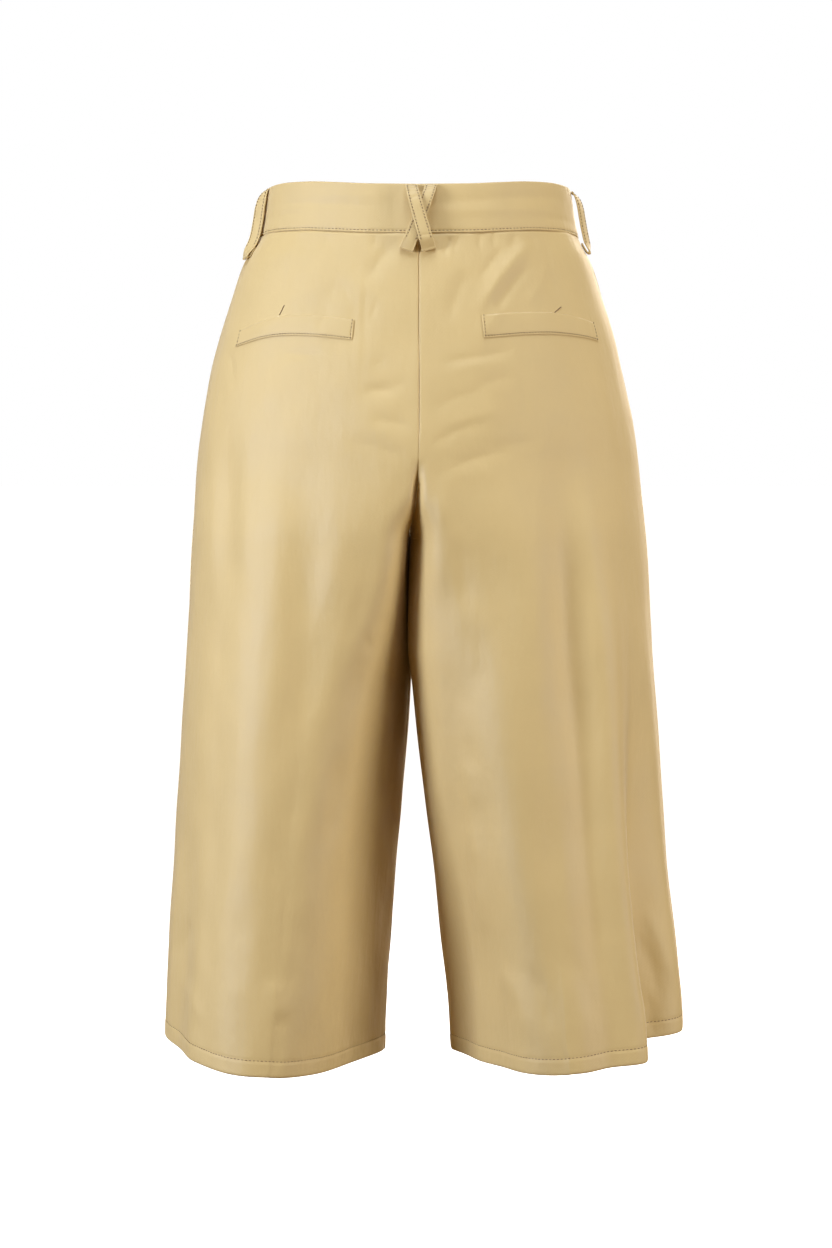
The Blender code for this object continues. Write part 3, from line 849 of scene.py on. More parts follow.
def cotton_material(name, code, pitch):
    """Mercerised cotton twill, piece-dyed khaki: fine diagonal lines and a slight sheen.

    The real twill's lines, 0.5 mm apart, are too fine to show. They are drawn at the pitch
    that is given, about twice as coarse.
    """
    material, tree, shader = blank_material(name, {
        "IOR": 1.58, "Specular IOR Level": 1.0, "Sheen Weight": 0.5, "Sheen Roughness": 0.5,
        "Sheen Tint": linear(SHEEN_COLOUR)})
    uv = node(tree, "ShaderNodeUVMap", uv_map="cloth")
    place = node(tree, "ShaderNodeTexCoord")
    turned = node(tree, "ShaderNodeMapping", {"Rotation": (0.0, 0.0, TWILL_SLANT)},
                  {"Vector": uv.outputs["UV"]})
    twill = node(tree, "ShaderNodeTexWave",
                 {"Scale": WAVE_PERIOD / pitch, "Distortion": 0.6, "Detail": 1.0,
                  "Detail Scale": 2.0},
                 {"Vector": turned.outputs["Vector"]}, wave_type="BANDS",
                 bands_direction="X", wave_profile="SIN")
    fibre = node(tree, "ShaderNodeTexNoise",
                 {"Scale": GRAIN["fibre"], "Detail": 2.0, "Roughness": 0.6},
                 {"Vector": uv.outputs["UV"]})
    slub = node(tree, "ShaderNodeTexNoise",
                {"Scale": GRAIN["slub"], "Detail": 3.0, "Roughness": 0.55},
                {"Vector": place.outputs["Object"]})
    handled = node(tree, "ShaderNodeTexNoise",
                   {"Scale": GRAIN["handled"], "Detail": 3.0, "Roughness": 0.5},
                   {"Vector": place.outputs["Object"]})
    deep, pale = tones(code, 0.93, 1.04)
    ground = node(tree, "ShaderNodeMix", {"A": deep, "B": pale}, {"Factor": slub.outputs["Fac"]},
                  data_type="RGBA")
    line = node(tree, "ShaderNodeMapRange", {"To Min": 0.965, "To Max": 1.0},
                {"Value": twill.outputs["Fac"]})
    speck = node(tree, "ShaderNodeMapRange", {"To Min": 0.97, "To Max": 1.03},
                 {"Value": fibre.outputs["Fac"]})
    tone = node(tree, "ShaderNodeMath", links={0: line.outputs["Result"],
                1: speck.outputs["Result"]}, operation="MULTIPLY")
    toned = node(tree, "ShaderNodeVectorMath", links={0: ground.outputs["Result"],
                 "Scale": tone.outputs["Value"]}, operation="SCALE")
    tree.links.new(toned.outputs["Vector"], shader.inputs["Base Color"])
    weave = node(tree, "ShaderNodeBump", {"Strength": 0.25, "Distance": 0.00012},
                 {"Height": twill.outputs["Fac"]})
    crumple = node(tree, "ShaderNodeBump", {"Strength": 0.4, "Distance": 0.0007},
                   {"Height": handled.outputs["Fac"], "Normal": weave.outputs["Normal"]})
    drawn = node(tree, "ShaderNodeMapping", {"Scale": (1.0, 1.0, 0.3)},
                 {"Vector": place.outputs["Object"]})
    streaks = node(tree, "ShaderNodeTexNoise",
                   {"Scale": GRAIN["pulled"], "Detail": 3.0, "Roughness": 0.6},
                   {"Vector": drawn.outputs["Vector"]})
    pulled = node(tree, "ShaderNodeBump", {"Strength": 0.35, "Distance": 0.003},
                  {"Height": streaks.outputs["Fac"], "Normal": crumple.outputs["Normal"]})
    tree.links.new(pulled.outputs["Normal"], shader.inputs["Normal"])
    rough = node(tree, "ShaderNodeMapRange", {"To Min": 0.62, "To Max": 0.74},
                 {"Value": slub.outputs["Fac"]})
    tree.links.new(rough.outputs["Result"], shader.inputs["Roughness"])
    return material


def thread_material(name, code):
    """Spun polyester sewing thread: matt, darker than the cloth, with the twist's fine lines. The
    darkness is partly the thread's own tone and partly painted shade of the needle holes.
    """
    material, tree, shader = blank_material(name, {"Roughness": 0.55, "Sheen Weight": 0.2})
    place = node(tree, "ShaderNodeTexCoord")
    twist = node(tree, "ShaderNodeTexNoise", {"Scale": GRAIN["twist"], "Detail": 1.0},
                 {"Vector": place.outputs["Object"]})
    deep, pale = tones(code, 0.86, 1.08)
    shade = node(tree, "ShaderNodeMix", {"A": deep, "B": pale},
                 {"Factor": twist.outputs["Fac"]}, data_type="RGBA")
    tree.links.new(shade.outputs["Result"], shader.inputs["Base Color"])
    return material


def horn_material(name, code):
    """Polished cast resin in a horn colour: cloudy streaks of 1 to 6 mm under a gloss."""
    material, tree, shader = blank_material(name, {"Roughness": 0.28, "IOR": 1.54})
    place = node(tree, "ShaderNodeTexCoord")
    stretched = node(tree, "ShaderNodeMapping", {"Scale": (60.0, 60.0, 260.0)},
                     {"Vector": place.outputs["Object"]})
    cloud = node(tree, "ShaderNodeTexNoise", {"Scale": 3.0, "Detail": 4.0, "Distortion": 1.2},
                 {"Vector": stretched.outputs["Vector"]})
    deep, pale = tones(code, 0.55, 1.3)
    streak = node(tree, "ShaderNodeMix", {"A": deep, "B": pale},
                  {"Factor": cloud.outputs["Fac"]}, data_type="RGBA")
    tree.links.new(streak.outputs["Result"], shader.inputs["Base Color"])
    return material


def tape_material(name, code):
    """Woven polyester zip tape: close ribs across the tape."""
    material, tree, shader = blank_material(name, {"Roughness": 0.7})
    place = node(tree, "ShaderNodeTexCoord")
    ribs = node(tree, "ShaderNodeTexWave", {"Scale": WAVE_PERIOD / TAPE_RIB, "Distortion": 0.2},
                {"Vector": place.outputs["Object"]}, bands_direction="Z")
    deep, pale = tones(code, 0.85, 1.0)
    shade = node(tree, "ShaderNodeMix", {"A": deep, "B": pale},
                 {"Factor": ribs.outputs["Fac"]}, data_type="RGBA")
    tree.links.new(shade.outputs["Result"], shader.inputs["Base Color"])
    bump = node(tree, "ShaderNodeBump", {"Strength": 0.3, "Distance": 0.0002},
                {"Height": ribs.outputs["Fac"]})
    tree.links.new(bump.outputs["Normal"], shader.inputs["Normal"])
    return material


def studio_material(name, code):
    """Matt white studio floor that glows a little, so that it shows as plain white."""
    return blank_material(name, {
        "Base Color": linear(code), "Emission Color": linear("FFFFFF"), "Emission Strength": 1.0,
        "Roughness": 0.9, "Specular IOR Level": 0.1})[0]


def kept_material(name, make, *values):
    """A material by name, made the first time it is asked for."""
    return bpy.data.materials.get(name) or make(name, *values)


def cotton():
    """The cloth's material."""
    cloth_settings = bpy.context.scene.shorts_cloth
    return kept_material(
        "khaki_cotton_twill", cotton_material, cloth_settings.colour, cloth_settings.warp_pitch)


def thread():
    """The sewing thread's material."""
    return kept_material(
        "thread_with_painted_hole_shade", thread_material, bpy.context.scene.shorts_sewing.colour)


# ---- repeats by Geometry Nodes -----------------------------------------------------------
def stitch_tree():
    """Stitches set along lines: a grain of thread at each pitch, turned along the line."""
    tree = bpy.data.node_groups.new("stitch_rows", "GeometryNodeTree")
    sockets = {}
    sockets["Lines"] = tree.interface.new_socket(
        "Lines", in_out="INPUT", socket_type="NodeSocketGeometry")
    for name in ("Pitch", "Length", "Thickness"):
        sockets[name] = tree.interface.new_socket(
            name, in_out="INPUT", socket_type="NodeSocketFloat")
    sockets["Thread"] = tree.interface.new_socket(
        "Thread", in_out="INPUT", socket_type="NodeSocketMaterial")
    tree.interface.new_socket("Stitches", in_out="OUTPUT", socket_type="NodeSocketGeometry")
    given = node(tree, "NodeGroupInput")
    path = node(tree, "GeometryNodeMeshToCurve", links={"Mesh": given.outputs["Lines"]})
    places = node(tree, "GeometryNodeCurveToPoints", links={
        "Curve": path.outputs["Curve"], "Length": given.outputs["Pitch"]}, mode="LENGTH")
    size = node(tree, "ShaderNodeCombineXYZ", links={
        "X": given.outputs["Thickness"], "Y": given.outputs["Thickness"],
        "Z": given.outputs["Length"]})
    grain = node(tree, "GeometryNodeMeshUVSphere", {"Segments": 6, "Rings": 5, "Radius": 0.5})
    sized = node(tree, "GeometryNodeTransform", links={
        "Geometry": grain.outputs["Mesh"], "Scale": size.outputs["Vector"]})
    uneven = node(tree, "FunctionNodeRandomValue", {"Seed": 4, 2: 0.88, 3: 1.08},
                  data_type="FLOAT")
    rows = node(tree, "GeometryNodeInstanceOnPoints", links={
        "Points": places.outputs["Points"], "Instance": sized.outputs["Geometry"],
        "Rotation": places.outputs["Rotation"], "Scale": uneven.outputs[1]})
    real = node(tree, "GeometryNodeRealizeInstances", links={"Geometry": rows.outputs["Instances"]})
    smooth = node(tree, "GeometryNodeSetShadeSmooth", links={"Geometry": real.outputs["Geometry"]})
    dyed = node(tree, "GeometryNodeSetMaterial", links={
        "Geometry": smooth.outputs["Geometry"], "Material": given.outputs["Thread"]})
    node(tree, "NodeGroupOutput", links={"Stitches": dyed.outputs["Geometry"]})
    return tree, {name: socket.identifier for name, socket in sockets.items()}


def sew(name, lines, material, pitch=None, length=None, thickness=None):
    """Stitches along lines of points in millimetres, as one plain mesh."""
    sewing = bpy.context.scene.shorts_sewing
    points, edges = [], []
    for line in lines:
        first = len(points)
        points.extend((np.asarray(line) * MM).tolist())
        edges.extend((k, k + 1) for k in range(first, len(points) - 1))
    mesh = bpy.data.meshes.new(name + "_lines")
    mesh.from_pydata(points, edges, [])
    holder = bpy.data.objects.new(name + "_lines", mesh)
    bpy.context.scene.collection.objects.link(holder)
    tree, names = stitch_tree()
    modifier = holder.modifiers.new("stitches", "NODES")
    modifier.node_group = tree
    modifier[names["Pitch"]] = pitch or sewing.pitch
    modifier[names["Length"]] = length or sewing.length
    modifier[names["Thickness"]] = thickness or sewing.thickness
    modifier[names["Thread"]] = material
    graph = bpy.context.evaluated_depsgraph_get()
    sewn = bpy.data.meshes.new_from_object(holder.evaluated_get(graph))
    sewn.name = name
    bpy.data.objects.remove(holder, do_unlink=True)
    bpy.data.node_groups.remove(tree)
    piece = add_piece(name, sewn, material)
    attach(piece, "root")
    return piece


# ---- the pieces --------------------------------------------------------------------------
PANEL_COLUMNS = {"back": 150, "front": 112}
PANEL_ROWS = {"back": 250, "front": 210}
EDGE_CROWDING = 0.62        # how much closer the columns lie at the seams
ROWS_CLOSER = (
    # share of the way down, fade, how much closer the rows lie above it, or below it where
    # the fade is negative: the seat, the seam under the waistband and the hem
    (0.34, 0.1, 0.5),
    (0.012, 0.008, 2.2),
    (0.962, -0.01, 1.6),
)


def crowd(share, amount):
    """Even shares drawn closer together at both ends."""
    return share - amount * np.sin(2.0 * math.pi * share) / (2.0 * math.pi)


def panel_rows(count):
    """Shares down a panel, closer together over the seat and at the hem."""
    dense = np.linspace(0.0, 1.0, 2001)
    weight = np.ones_like(dense)
    for share, fade, more in ROWS_CLOSER:
        weight += more * ease((share - dense) / fade)
    run = np.concatenate([[0.0], np.cumsum((weight[1:] + weight[:-1]) / 2.0)])
    return np.interp(np.linspace(0.0, run[-1], count + 1), run, dense)


def make_panel(face, side):
    """One leg panel: the dressed cloth with its wall."""
    columns = crowd(np.linspace(0.0, 1.0, PANEL_COLUMNS[face] + 1), EDGE_CROWDING)
    across, share = np.meshgrid(columns, panel_rows(PANEL_ROWS[face]))
    z = row_height(side, across, share)
    points = panel_point(face, side, across, z)
    from_side = cloth(face, side, across, z)[1]
    uv = np.stack([from_side, z], axis=-1)
    flip = SIDES[side] * FACES[face] > 0.0
    mesh = grid_mesh("cloth", points, uv, flip=flip)
    name = f"cloth_{face}_{side}"
    piece = add_piece(name, give_wall(mesh, PANEL_WALL), cotton())
    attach(piece, "root")
    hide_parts(f"{face}_{side}")


class SHORTS_OT_panels(bpy.types.Operator):
    """Makes the four leg panels with their folds, creases, hems and seam edges"""
    bl_idname = "shorts.panels"
    bl_label = "Leg panels"

    def execute(self, context):
        for side in SIDES:
            for face in FACES:
                make_panel(face, side)
        return {"FINISHED"}


def band_place(angle, height, out):
    """A point on the waistband; its left end steps in behind its right end at the front."""
    start, end = BAND_STEP_IN
    tuck = (BAND_WALL + SEAM_GAP) * ease((angle - start) / (end - start))
    return waist(angle, height, BAND_PROUD + out - tuck)


class SHORTS_OT_waistband(bpy.types.Operator):
    """Makes the waistband, folded at its top edge and turned in along its seam"""
    bl_idname = "shorts.waistband"
    bl_label = "Waistband"

    def execute(self, context):
        half_tall = (BAND_TOP - BAND_BOTTOM) / 2.0
        section = rounded_section(BAND_WALL / 2.0, half_tall, BAND_CORNER, steps=0.8)
        angles = np.linspace(*BAND_ENDS, BAND_COLUMNS)
        angle, out = np.meshgrid(angles, section[:, 0], indexing="ij")
        height = np.broadcast_to(section[:, 1], angle.shape)
        relief = band_relief(angle, height) * ease((out + BAND_WALL / 2.0) / BAND_WALL)
        points = band_place(angle, height, out - BAND_WALL / 2.0 + relief)
        uv = np.stack([angle * BAND_SCALE_ROUND, height + out], axis=-1)
        mesh = grid_mesh("cloth_waistband", points, uv, closed_across=True)
        close_ends(mesh)
        piece = add_piece("cloth_waistband", mesh, cotton())
        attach(piece, "root")
        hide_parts("waistband")
        return {"FINISHED"}


def strap_path(bottom, stand_off):
    """A strap's outer face: heights, distances out and how much of the stand-off each has."""
    lies = BAND_PROUD + SEAM_GAP
    turn_z = bottom + STRAP_TURN
    points = [
        (STRAP_TOP + (turn_z - STRAP_TOP) * way, lies + STRAP_WALL + stand_off * share, share)
        for way, share in STRAP_SHAPE
    ]
    for angle in np.linspace(0.0, math.pi, 7):
        out = lies + STRAP_TURN * (1.0 + math.cos(angle))
        points.append((turn_z - STRAP_TURN * math.sin(angle), out, 0.0))
    points.append((turn_z + STRAP_TAIL, lies, 0.0))
    return np.array(points)


def strap_points(loop, across, above):
    """Points of a strap: across its width, above its middle layer, along its smooth path."""
    _, angle_top, angle_bottom, bottom, stand_off, twist = loop
    path = smooth_path(strap_path(bottom, stand_off), STRAP_ROWS)
    height = STRAP_TOP - bottom
    middle = (STRAP_TOP + bottom) / 2.0
    degree = waist(angle_bottom + 1.0, middle, 0.0) - waist(angle_bottom, middle, 0.0)
    mm_per_degree = float(np.linalg.norm(degree))
    tilt = math.atan2((angle_bottom - angle_top) * mm_per_degree, height)
    run = np.gradient(path[:, :2], axis=0)
    run /= np.linalg.norm(run, axis=1, keepdims=True)
    away = np.stack([run[:, 1], -run[:, 0]], axis=1)
    z = path[:, 0][:, None] + away[:, 0][:, None] * (above - STRAP_WALL / 2.0)
    out = path[:, 1][:, None] + away[:, 1][:, None] * (above - STRAP_WALL / 2.0)
    angle = angle_top + (angle_bottom - angle_top) * (STRAP_TOP - z) / height
    angle = angle + across * math.cos(tilt) / mm_per_degree
    z = z + across * math.sin(tilt) * (STRAP_TOP - z) / height
    turned = twist * path[:, 2][:, None] * across / (STRAP_WIDTH / 2.0)
    return waist(angle, z, out + turned)


class SHORTS_OT_belt_loops(bpy.types.Operator):
    """Makes the six belt loops: folded straps, turned under at their lower ends"""
    bl_idname = "shorts.belt_loops"
    bl_label = "Belt loops"

    def execute(self, context):
        half = STRAP_WIDTH / 2.0
        section = rounded_section(half, STRAP_WALL / 2.0, STRAP_CORNER, steps=0.9)
        edge = context.scene.shorts_sewing.edge / MM
        rows = []
        run = np.arange(STRAP_ROWS) * STRAP_STEP
        across, above = section[:, 0][None, :], section[:, 1][None, :]
        for number, loop in enumerate(LOOPS):
            relief = groove(np.abs(across) - half + edge, *STRAP_GROOVE)
            for place, slant, depth in LOOP_CREASES[number]:
                from_crease = run[:, None] - place - slant * across
                relief = relief + groove(from_crease, STRAP_CREASE_HALF, depth)
            points = strap_points(loop, across, above + relief * (above > 0.0))
            uv = np.stack(np.meshgrid(section[:, 0] + 40.0 * number, run), axis=-1)
            mesh = grid_mesh(loop[0], points, uv, closed_across=True)
            close_ends(mesh)
            piece = add_piece(f"cloth_{loop[0]}", mesh, cotton())
            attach(piece, "root")
            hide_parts(loop[0])
            for way in (-1.0, 1.0):
                line = strap_points(
                    loop, np.array([[way * (half - edge)]]), np.array([[STRAP_WALL / 2.0]]))
                rows.append(line[STRAP_STITCHED, 0])
        sew("stitches_belt_loops", rows, thread(), **FINE_STITCH)
        return {"FINISHED"}


def welt_place(welt, across, down, above):
    """A point on a welt, above the dressed panel that it lies on."""
    name, t_inner, t_outer, top_inner, top_outer, tall_inner, tall_outer, high, low = welt
    t = t_inner + (t_outer - t_inner) * across
    top = top_inner + (top_outer - top_inner) * across
    tall = tall_inner + (tall_outer - tall_inner) * across
    rise = high + (low - high) * down
    z = top - tall * down + rise * np.sin(math.pi * across)
    return panel_point("back", name.split("_")[1], t, z, above)


class SHORTS_OT_welts(bpy.types.Operator):
    """Makes the single welts of the two back pockets, with their stitching"""
    bl_idname = "shorts.welts"
    bl_label = "Pocket welts"

    def execute(self, context):
        edge = context.scene.shorts_sewing.edge / MM
        across, down = np.meshgrid(
            *(crowd(np.linspace(0.0, 1.0, count), WELT_CROWDING) for count in WELT_COUNTS))
        from_end = np.minimum(across, 1.0 - across) * WELT_LENGTH
        from_top = down * WELT_TALL
        near = np.minimum(from_end, np.minimum(from_top, WELT_TALL - from_top))
        unstitched, fade = WELT_FOLD
        above = (
            WELT_TOP
            + roll_in(near, *WELT_ROLL)
            + groove(near - edge, *WELT_GROOVE) * ease((from_top - unstitched) / fade)
            + WELT_FULLNESS * np.sin(math.pi * down)
        )
        uv = np.stack([across * WELT_LENGTH, -from_top], axis=-1)
        rows = []
        for welt in WELTS:
            side = welt[0].split("_")[1]
            points = welt_place(welt, across, down, above)
            mesh = grid_mesh(welt[0], points, uv, flip=SIDES[side] > 0.0)
            piece = add_piece(f"cloth_{welt[0]}", give_wall(mesh, WELT_SHELL), cotton())
            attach(piece, "root")
            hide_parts(welt[0])
            a, b = edge / WELT_LENGTH, edge / WELT_TALL
            for u0, w0, u1, w1 in ((a, 1 - b, 1 - a, 1 - b), (a, 0.02, a, 1 - b),
                                   (1 - a, 0.02, 1 - a, 1 - b)):
                u, w = np.linspace(u0, u1, 60), np.linspace(w0, w1, 60)
                rows.append(welt_place(welt, u, w, WELT_TOP + 0.05))
        sew("stitches_welts", rows, thread(), **FINE_STITCH)
        return {"FINISHED"}


FLY_STITCH = (
    # x, z of the fly's stitching, from the waistband down
    (-33.0, -22.0),
    (-33.0, -60.0),
    (-33.0, -100.0),
    (-31.5, -120.0),
    (-27.0, -136.0),
    (-19.0, -149.0),
    (-8.0, -158.0),
    (-1.5, -161.0),
)


class SHORTS_OT_seam_stitching(bpy.types.Operator):
    """Sews the waistband's edge, the hems and the fly"""
    bl_idname = "shorts.seam_stitching"
    bl_label = "Seam stitching"

    def execute(self, context):
        sewing = context.scene.shorts_sewing
        hem = sewing.hem_depth / MM
        angles = np.linspace(*BAND_STITCH_ENDS, 700)
        level = np.full_like(angles, BAND_BOTTOM + BAND_STITCH)
        band = band_place(angles, level, band_relief(angles, level) + 0.08)
        sew("stitches_waistband", [band], thread())
        rows = []
        for side in SIDES:
            for face in FACES:
                t = np.linspace(0.006, 0.994, 260)
                z = row_height(side, t, 1.0) + hem
                rows.append(panel_point(face, side, t, z, 0.1))
        sew("stitches_hems", rows, thread())
        x, z = smooth_path(np.array(FLY_STITCH), 90).T
        t = t_at("right", x, z)
        sew("stitches_fly", [panel_point("front", "right", t, z, 0.1)], thread())
        tacks = []
        for x0, z0, x1, z1 in DART_TACKS:
            x, z = np.linspace(x0, x1, 12), np.linspace(z0, z1, 12)
            side = "left" if x0 > 0.0 else "right"
            tacks.append(panel_point("back", side, t_at(side, x, z), z, 0.15))
        sew("stitches_darts", tacks, thread(), **TACK_STITCH)
        return {"FINISHED"}


BUTTON_PROFILE = (
    # radius, height
    (0.0, 2.1),
    (4.4, 2.1),
    (4.9, 2.25),
    (5.5, 2.75),
    (6.2, 2.9),
    (6.9, 2.75),
    (7.35, 2.3),
    (7.5, 1.6),
    (7.5, 0.6),
    (7.3, 0.2),
    (6.9, 0.0),
    (0.0, 0.0),
)
BUTTON_STEPS = 64
BUTTON_TILT = math.radians(82.9)
BUTTON_SHARP = math.radians(38.0)
HOLE_OFFSET = 1.45
HOLE_RADIUS = 0.75
HOLE_STEPS = 20
HOLE_REACH = 8.0
THREAD_STRANDS = (-0.28, 0.0, 0.28)
THREAD_TOP = 2.35           # how high over the button's back the thread crosses it
THREAD_DROP = 0.35          # and how far it sinks into the holes
BUTTON_STITCH = {"pitch": 0.0008, "length": 0.0013, "thickness": 0.0003}


class SHORTS_OT_button(bpy.types.Operator):
    """Makes the four-hole button on the waistband and its thread"""
    bl_idname = "shorts.button"
    bl_label = "Waist button"

    def execute(self, context):
        trims = context.scene.shorts_trims
        work = bmesh.new()
        ring = [work.verts.new((r * MM, 0.0, h * MM)) for r, h in BUTTON_PROFILE]
        edges = [work.edges.new(pair) for pair in zip(ring, ring[1:])]
        bmesh.ops.spin(work, geom=ring + edges, axis=(0, 0, 1), cent=(0, 0, 0),
                       steps=BUTTON_STEPS, angle=2.0 * math.pi)
        bmesh.ops.remove_doubles(work, verts=work.verts, dist=1e-6)
        bmesh.ops.recalc_face_normals(work, faces=work.faces)
        mesh = bpy.data.meshes.new("button")
        work.to_mesh(mesh)
        work.free()
        holes = bmesh.new()
        for wx, wy in ((1, 1), (1, -1), (-1, 1), (-1, -1)):
            made = bmesh.ops.create_cone(
                holes, cap_ends=True, segments=HOLE_STEPS, radius1=HOLE_RADIUS * MM,
                radius2=HOLE_RADIUS * MM, depth=HOLE_REACH * MM)
            bmesh.ops.translate(
                holes, verts=made["verts"], vec=(wx * HOLE_OFFSET * MM, wy * HOLE_OFFSET * MM, 0))
        cutter_mesh = bpy.data.meshes.new("holes")
        holes.to_mesh(cutter_mesh)
        holes.free()
        blank = bpy.data.objects.new("button_blank", mesh)
        cutter = bpy.data.objects.new("holes", cutter_mesh)
        for item in (blank, cutter):
            context.scene.collection.objects.link(item)
        cut = blank.modifiers.new("holes", "BOOLEAN")
        cut.operation = "DIFFERENCE"
        cut.object = cutter
        place = Vector(waist(180.0, 0.0, BAND_PROUD + SEAM_GAP).tolist()) * MM
        blank.location = place
        blank.rotation_euler = (BUTTON_TILT, 0.0, 0.0)
        cutter.location, cutter.rotation_euler = blank.location, blank.rotation_euler
        context.view_layer.update()
        graph = context.evaluated_depsgraph_get()
        drilled = in_order(bpy.data.meshes.new_from_object(blank.evaluated_get(graph)))
        turned = blank.matrix_world.copy()
        drilled.transform(turned)
        for item in (blank, cutter):
            bpy.data.objects.remove(item, do_unlink=True)
        if len(drilled.polygons) == 0:
            raise RuntimeError("the button lost its faces when its holes were cut")
        horn = kept_material("horn_resin", horn_material, trims.button_colour)
        piece = add_piece("button", drilled, horn)
        piece.data.set_sharp_from_angle(angle=BUTTON_SHARP)
        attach(piece, "root")
        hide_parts("waist_button")
        rows = []
        for way in (-1.0, 1.0):
            for strand in THREAD_STRANDS:
                line = [turned @ Vector((
                    (way * HOLE_OFFSET + strand) * MM, s * HOLE_OFFSET * MM,
                    (THREAD_TOP - THREAD_DROP * abs(s) ** 3) * MM))
                    for s in (-1.05, -0.5, 0.0, 0.5, 1.05)]
                rows.append(np.array(line) / MM)
        sew("thread_button", rows, thread(), **BUTTON_STITCH)
        return {"FINISHED"}


COIL_ENDS = (-26.0, -162.0)
COIL_BEHIND = -3.45         # behind the cloth's face and the tape
COIL_HALF_ANGLE = 0.62      # degrees from the middle to each half of the coil
COIL_TURN = {"length": 0.0009, "thickness": 0.0021}


class SHORTS_OT_zip(bpy.types.Operator):
    """Finishes the zip's tape and sets the turns of its coil behind the fly"""
    bl_idname = "shorts.zip"
    bl_label = "Fly zip"

    def execute(self, context):
        trims = context.scene.shorts_trims
        tape = kept_material("woven_zip_tape", tape_material, trims.tape_colour)
        NODES["fly_zip"].data.materials.clear()
        NODES["fly_zip"].data.materials.append(tape)
        z = np.linspace(*COIL_ENDS, 120)
        rows = [waist(180.0 + way * COIL_HALF_ANGLE, z, np.full_like(z, COIL_BEHIND))
                for way in (-1.0, 1.0)]
        coil = sew("zip_coil", rows, tape, pitch=trims.tooth_pitch, **COIL_TURN)
        return {"FINISHED"}


# ---- the studio --------------------------------------------------------------------------
CAMERA_PLACE = (0.0025, 2.4, -0.1765)
CAMERA_PITCH = math.radians(4.0)
CAMERA_LENS = 81.45
FLOOR_REACH = 40.0
FLOOR_COLOUR = "F7F6F4"
SURROUND_COLOUR = "FFC870"
LIT_PLACE = (0.0, 0.0, -0.33)
LIGHTS = (
    # name, place and size in metres, share of the key light's power, colour
    ("key", (1.95, 1.28, 0.0), (0.7, 0.7), 1.0, "DCE7FE"),
    ("top", (0.0, 0.7, 1.6), (1.4, 1.2), 0.53, "E2EEFF"),
    ("side", (-1.9, 0.95, -0.4), (0.8, 1.6), 0.5, "F8FAFF"),
    ("front", (-0.9, -2.0, 0.6), (1.0, 1.0), 0.8, "FFF4E4"),
)


def soft_light(name, place, width, power, colour):
    """A soft box with a plain rectangle of light, turned to the shorts."""
    light = bpy.data.lights.new(name, "AREA")
    light.shape = "RECTANGLE"
    light.size, light.size_y = width
    light.energy = power
    light.color = linear(colour)[:3]
    lamp = bpy.data.objects.new(name, light)
    lamp.location = place
    way = Vector(LIT_PLACE) - Vector(place)
    lamp.rotation_euler = way.to_track_quat("-Z", "Y").to_euler()
    lamp.visible_camera = False
    bpy.context.scene.collection.objects.link(lamp)


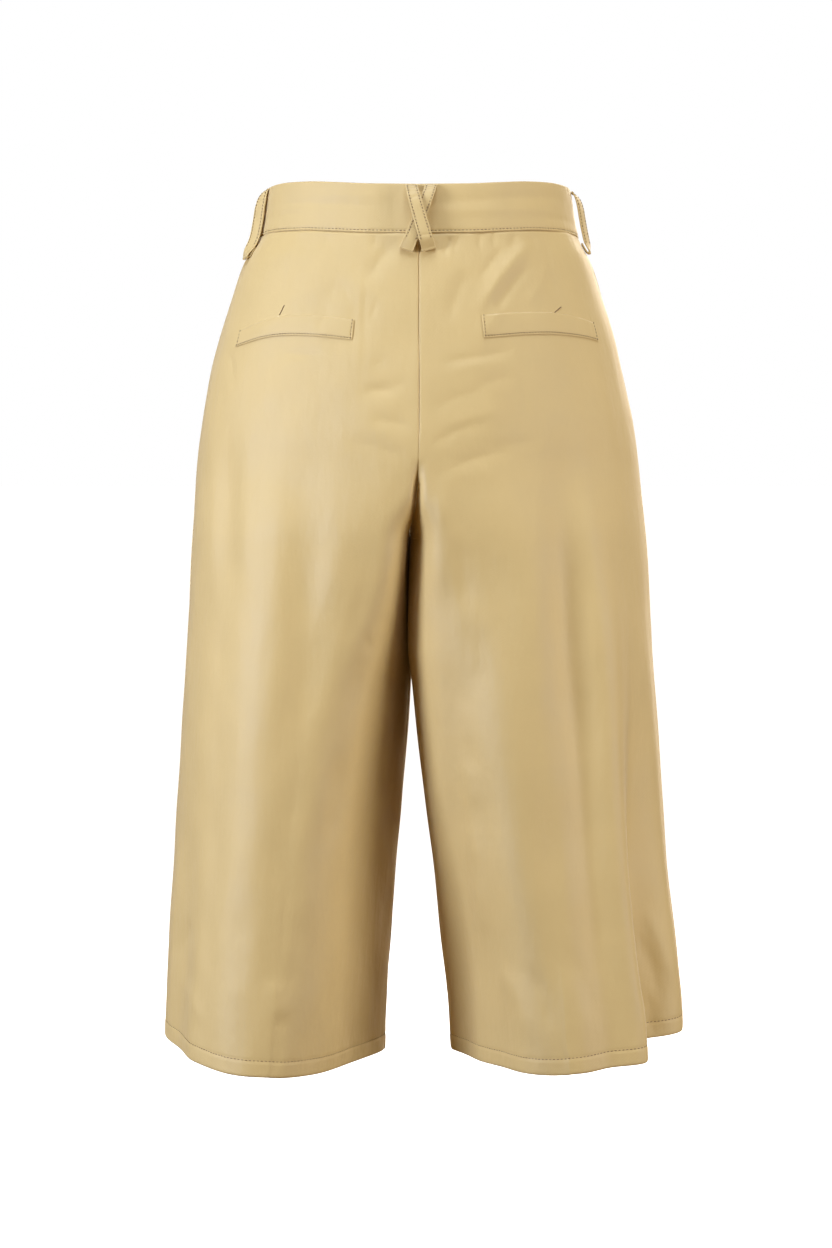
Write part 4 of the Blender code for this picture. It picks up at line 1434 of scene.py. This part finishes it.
class SHORTS_OT_stage(bpy.types.Operator):
    """Sets the pale floor, the soft lights and the camera"""
    bl_idname = "shorts.stage"
    bl_label = "Studio"

    def execute(self, context):
        stage = context.scene.shorts_stage
        reach = FLOOR_REACH
        paint = studio_material("studio_white", FLOOR_COLOUR)
        corners = [(-reach, -reach), (reach, -reach), (reach, reach), (-reach, reach)]
        mesh = bpy.data.meshes.new("floor")
        mesh.from_pydata([(x, y, stage.floor_level) for x, y in corners], [], [(0, 1, 2, 3)])
        ground = add_piece("floor", mesh, paint)
        ground.visible_diffuse = False
        ground.visible_glossy = False
        for name, place, size, share, colour in LIGHTS:
            soft_light(name, place, size, stage.key_power * share, colour)
        world = context.scene.world or bpy.data.worlds.new("surround")
        context.scene.world = world
        world.use_nodes = True
        tree = world.node_tree
        tree.nodes.clear()
        seen = node(tree, "ShaderNodeBackground", {"Color": linear("FFFFFF"), "Strength": 1.0})
        lit = node(tree, "ShaderNodeBackground",
                   {"Color": linear(SURROUND_COLOUR), "Strength": stage.surround})
        ray = node(tree, "ShaderNodeLightPath")
        either = node(tree, "ShaderNodeMixShader", links={
            0: ray.outputs["Is Camera Ray"], 1: lit.outputs[0], 2: seen.outputs[0]})
        node(tree, "ShaderNodeOutputWorld", links={"Surface": either.outputs[0]})
        camera = bpy.data.cameras.new("camera")
        camera.lens = CAMERA_LENS
        camera.sensor_width = 36.0
        view = bpy.data.objects.new("camera", camera)
        view.location = CAMERA_PLACE
        view.rotation_euler = (QUARTER - CAMERA_PITCH, 0.0, math.pi)
        context.scene.collection.objects.link(view)
        context.scene.camera = view
        context.scene.view_settings.view_transform = "Standard"
        return {"FINISHED"}


class SHORTS_PT_panel(bpy.types.Panel):
    """Lists the settings and the steps that build the shorts"""
    bl_idname = "SHORTS_PT_panel"
    bl_label = "Bermuda Shorts"
    bl_space_type = "VIEW_3D"
    bl_region_type = "UI"
    bl_category = "Shorts"

    def draw(self, context):
        column = self.layout.column()
        for group in (context.scene.shorts_cloth, context.scene.shorts_sewing,
                      context.scene.shorts_trims, context.scene.shorts_stage):
            for name in group.__annotations__:
                column.prop(group, name)
        for operator in OPERATORS:
            column.operator(operator.bl_idname)


GROUPS = {
    "shorts_cloth": ShortsCloth,
    "shorts_sewing": ShortsSewing,
    "shorts_trims": ShortsTrims,
    "shorts_stage": ShortsStage,
}
OPERATORS = (
    SHORTS_OT_stage,
    SHORTS_OT_panels,
    SHORTS_OT_waistband,
    SHORTS_OT_welts,
    SHORTS_OT_belt_loops,
    SHORTS_OT_seam_stitching,
    SHORTS_OT_button,
    SHORTS_OT_zip,
)


def register():
    for kind in (*GROUPS.values(), *OPERATORS, SHORTS_PT_panel):
        bpy.utils.register_class(kind)
    for name, group in GROUPS.items():
        setattr(bpy.types.Scene, name, bpy.props.PointerProperty(type=group))


def unregister():
    for name in GROUPS:
        delattr(bpy.types.Scene, name)
    for kind in reversed((*GROUPS.values(), *OPERATORS, SHORTS_PT_panel)):
        bpy.utils.unregister_class(kind)


def main():
    register()
    for operator in OPERATORS:
        group, name = operator.bl_idname.split(".")
        getattr(getattr(bpy.ops, group), name)()


if __name__ == "__main__":
    main()
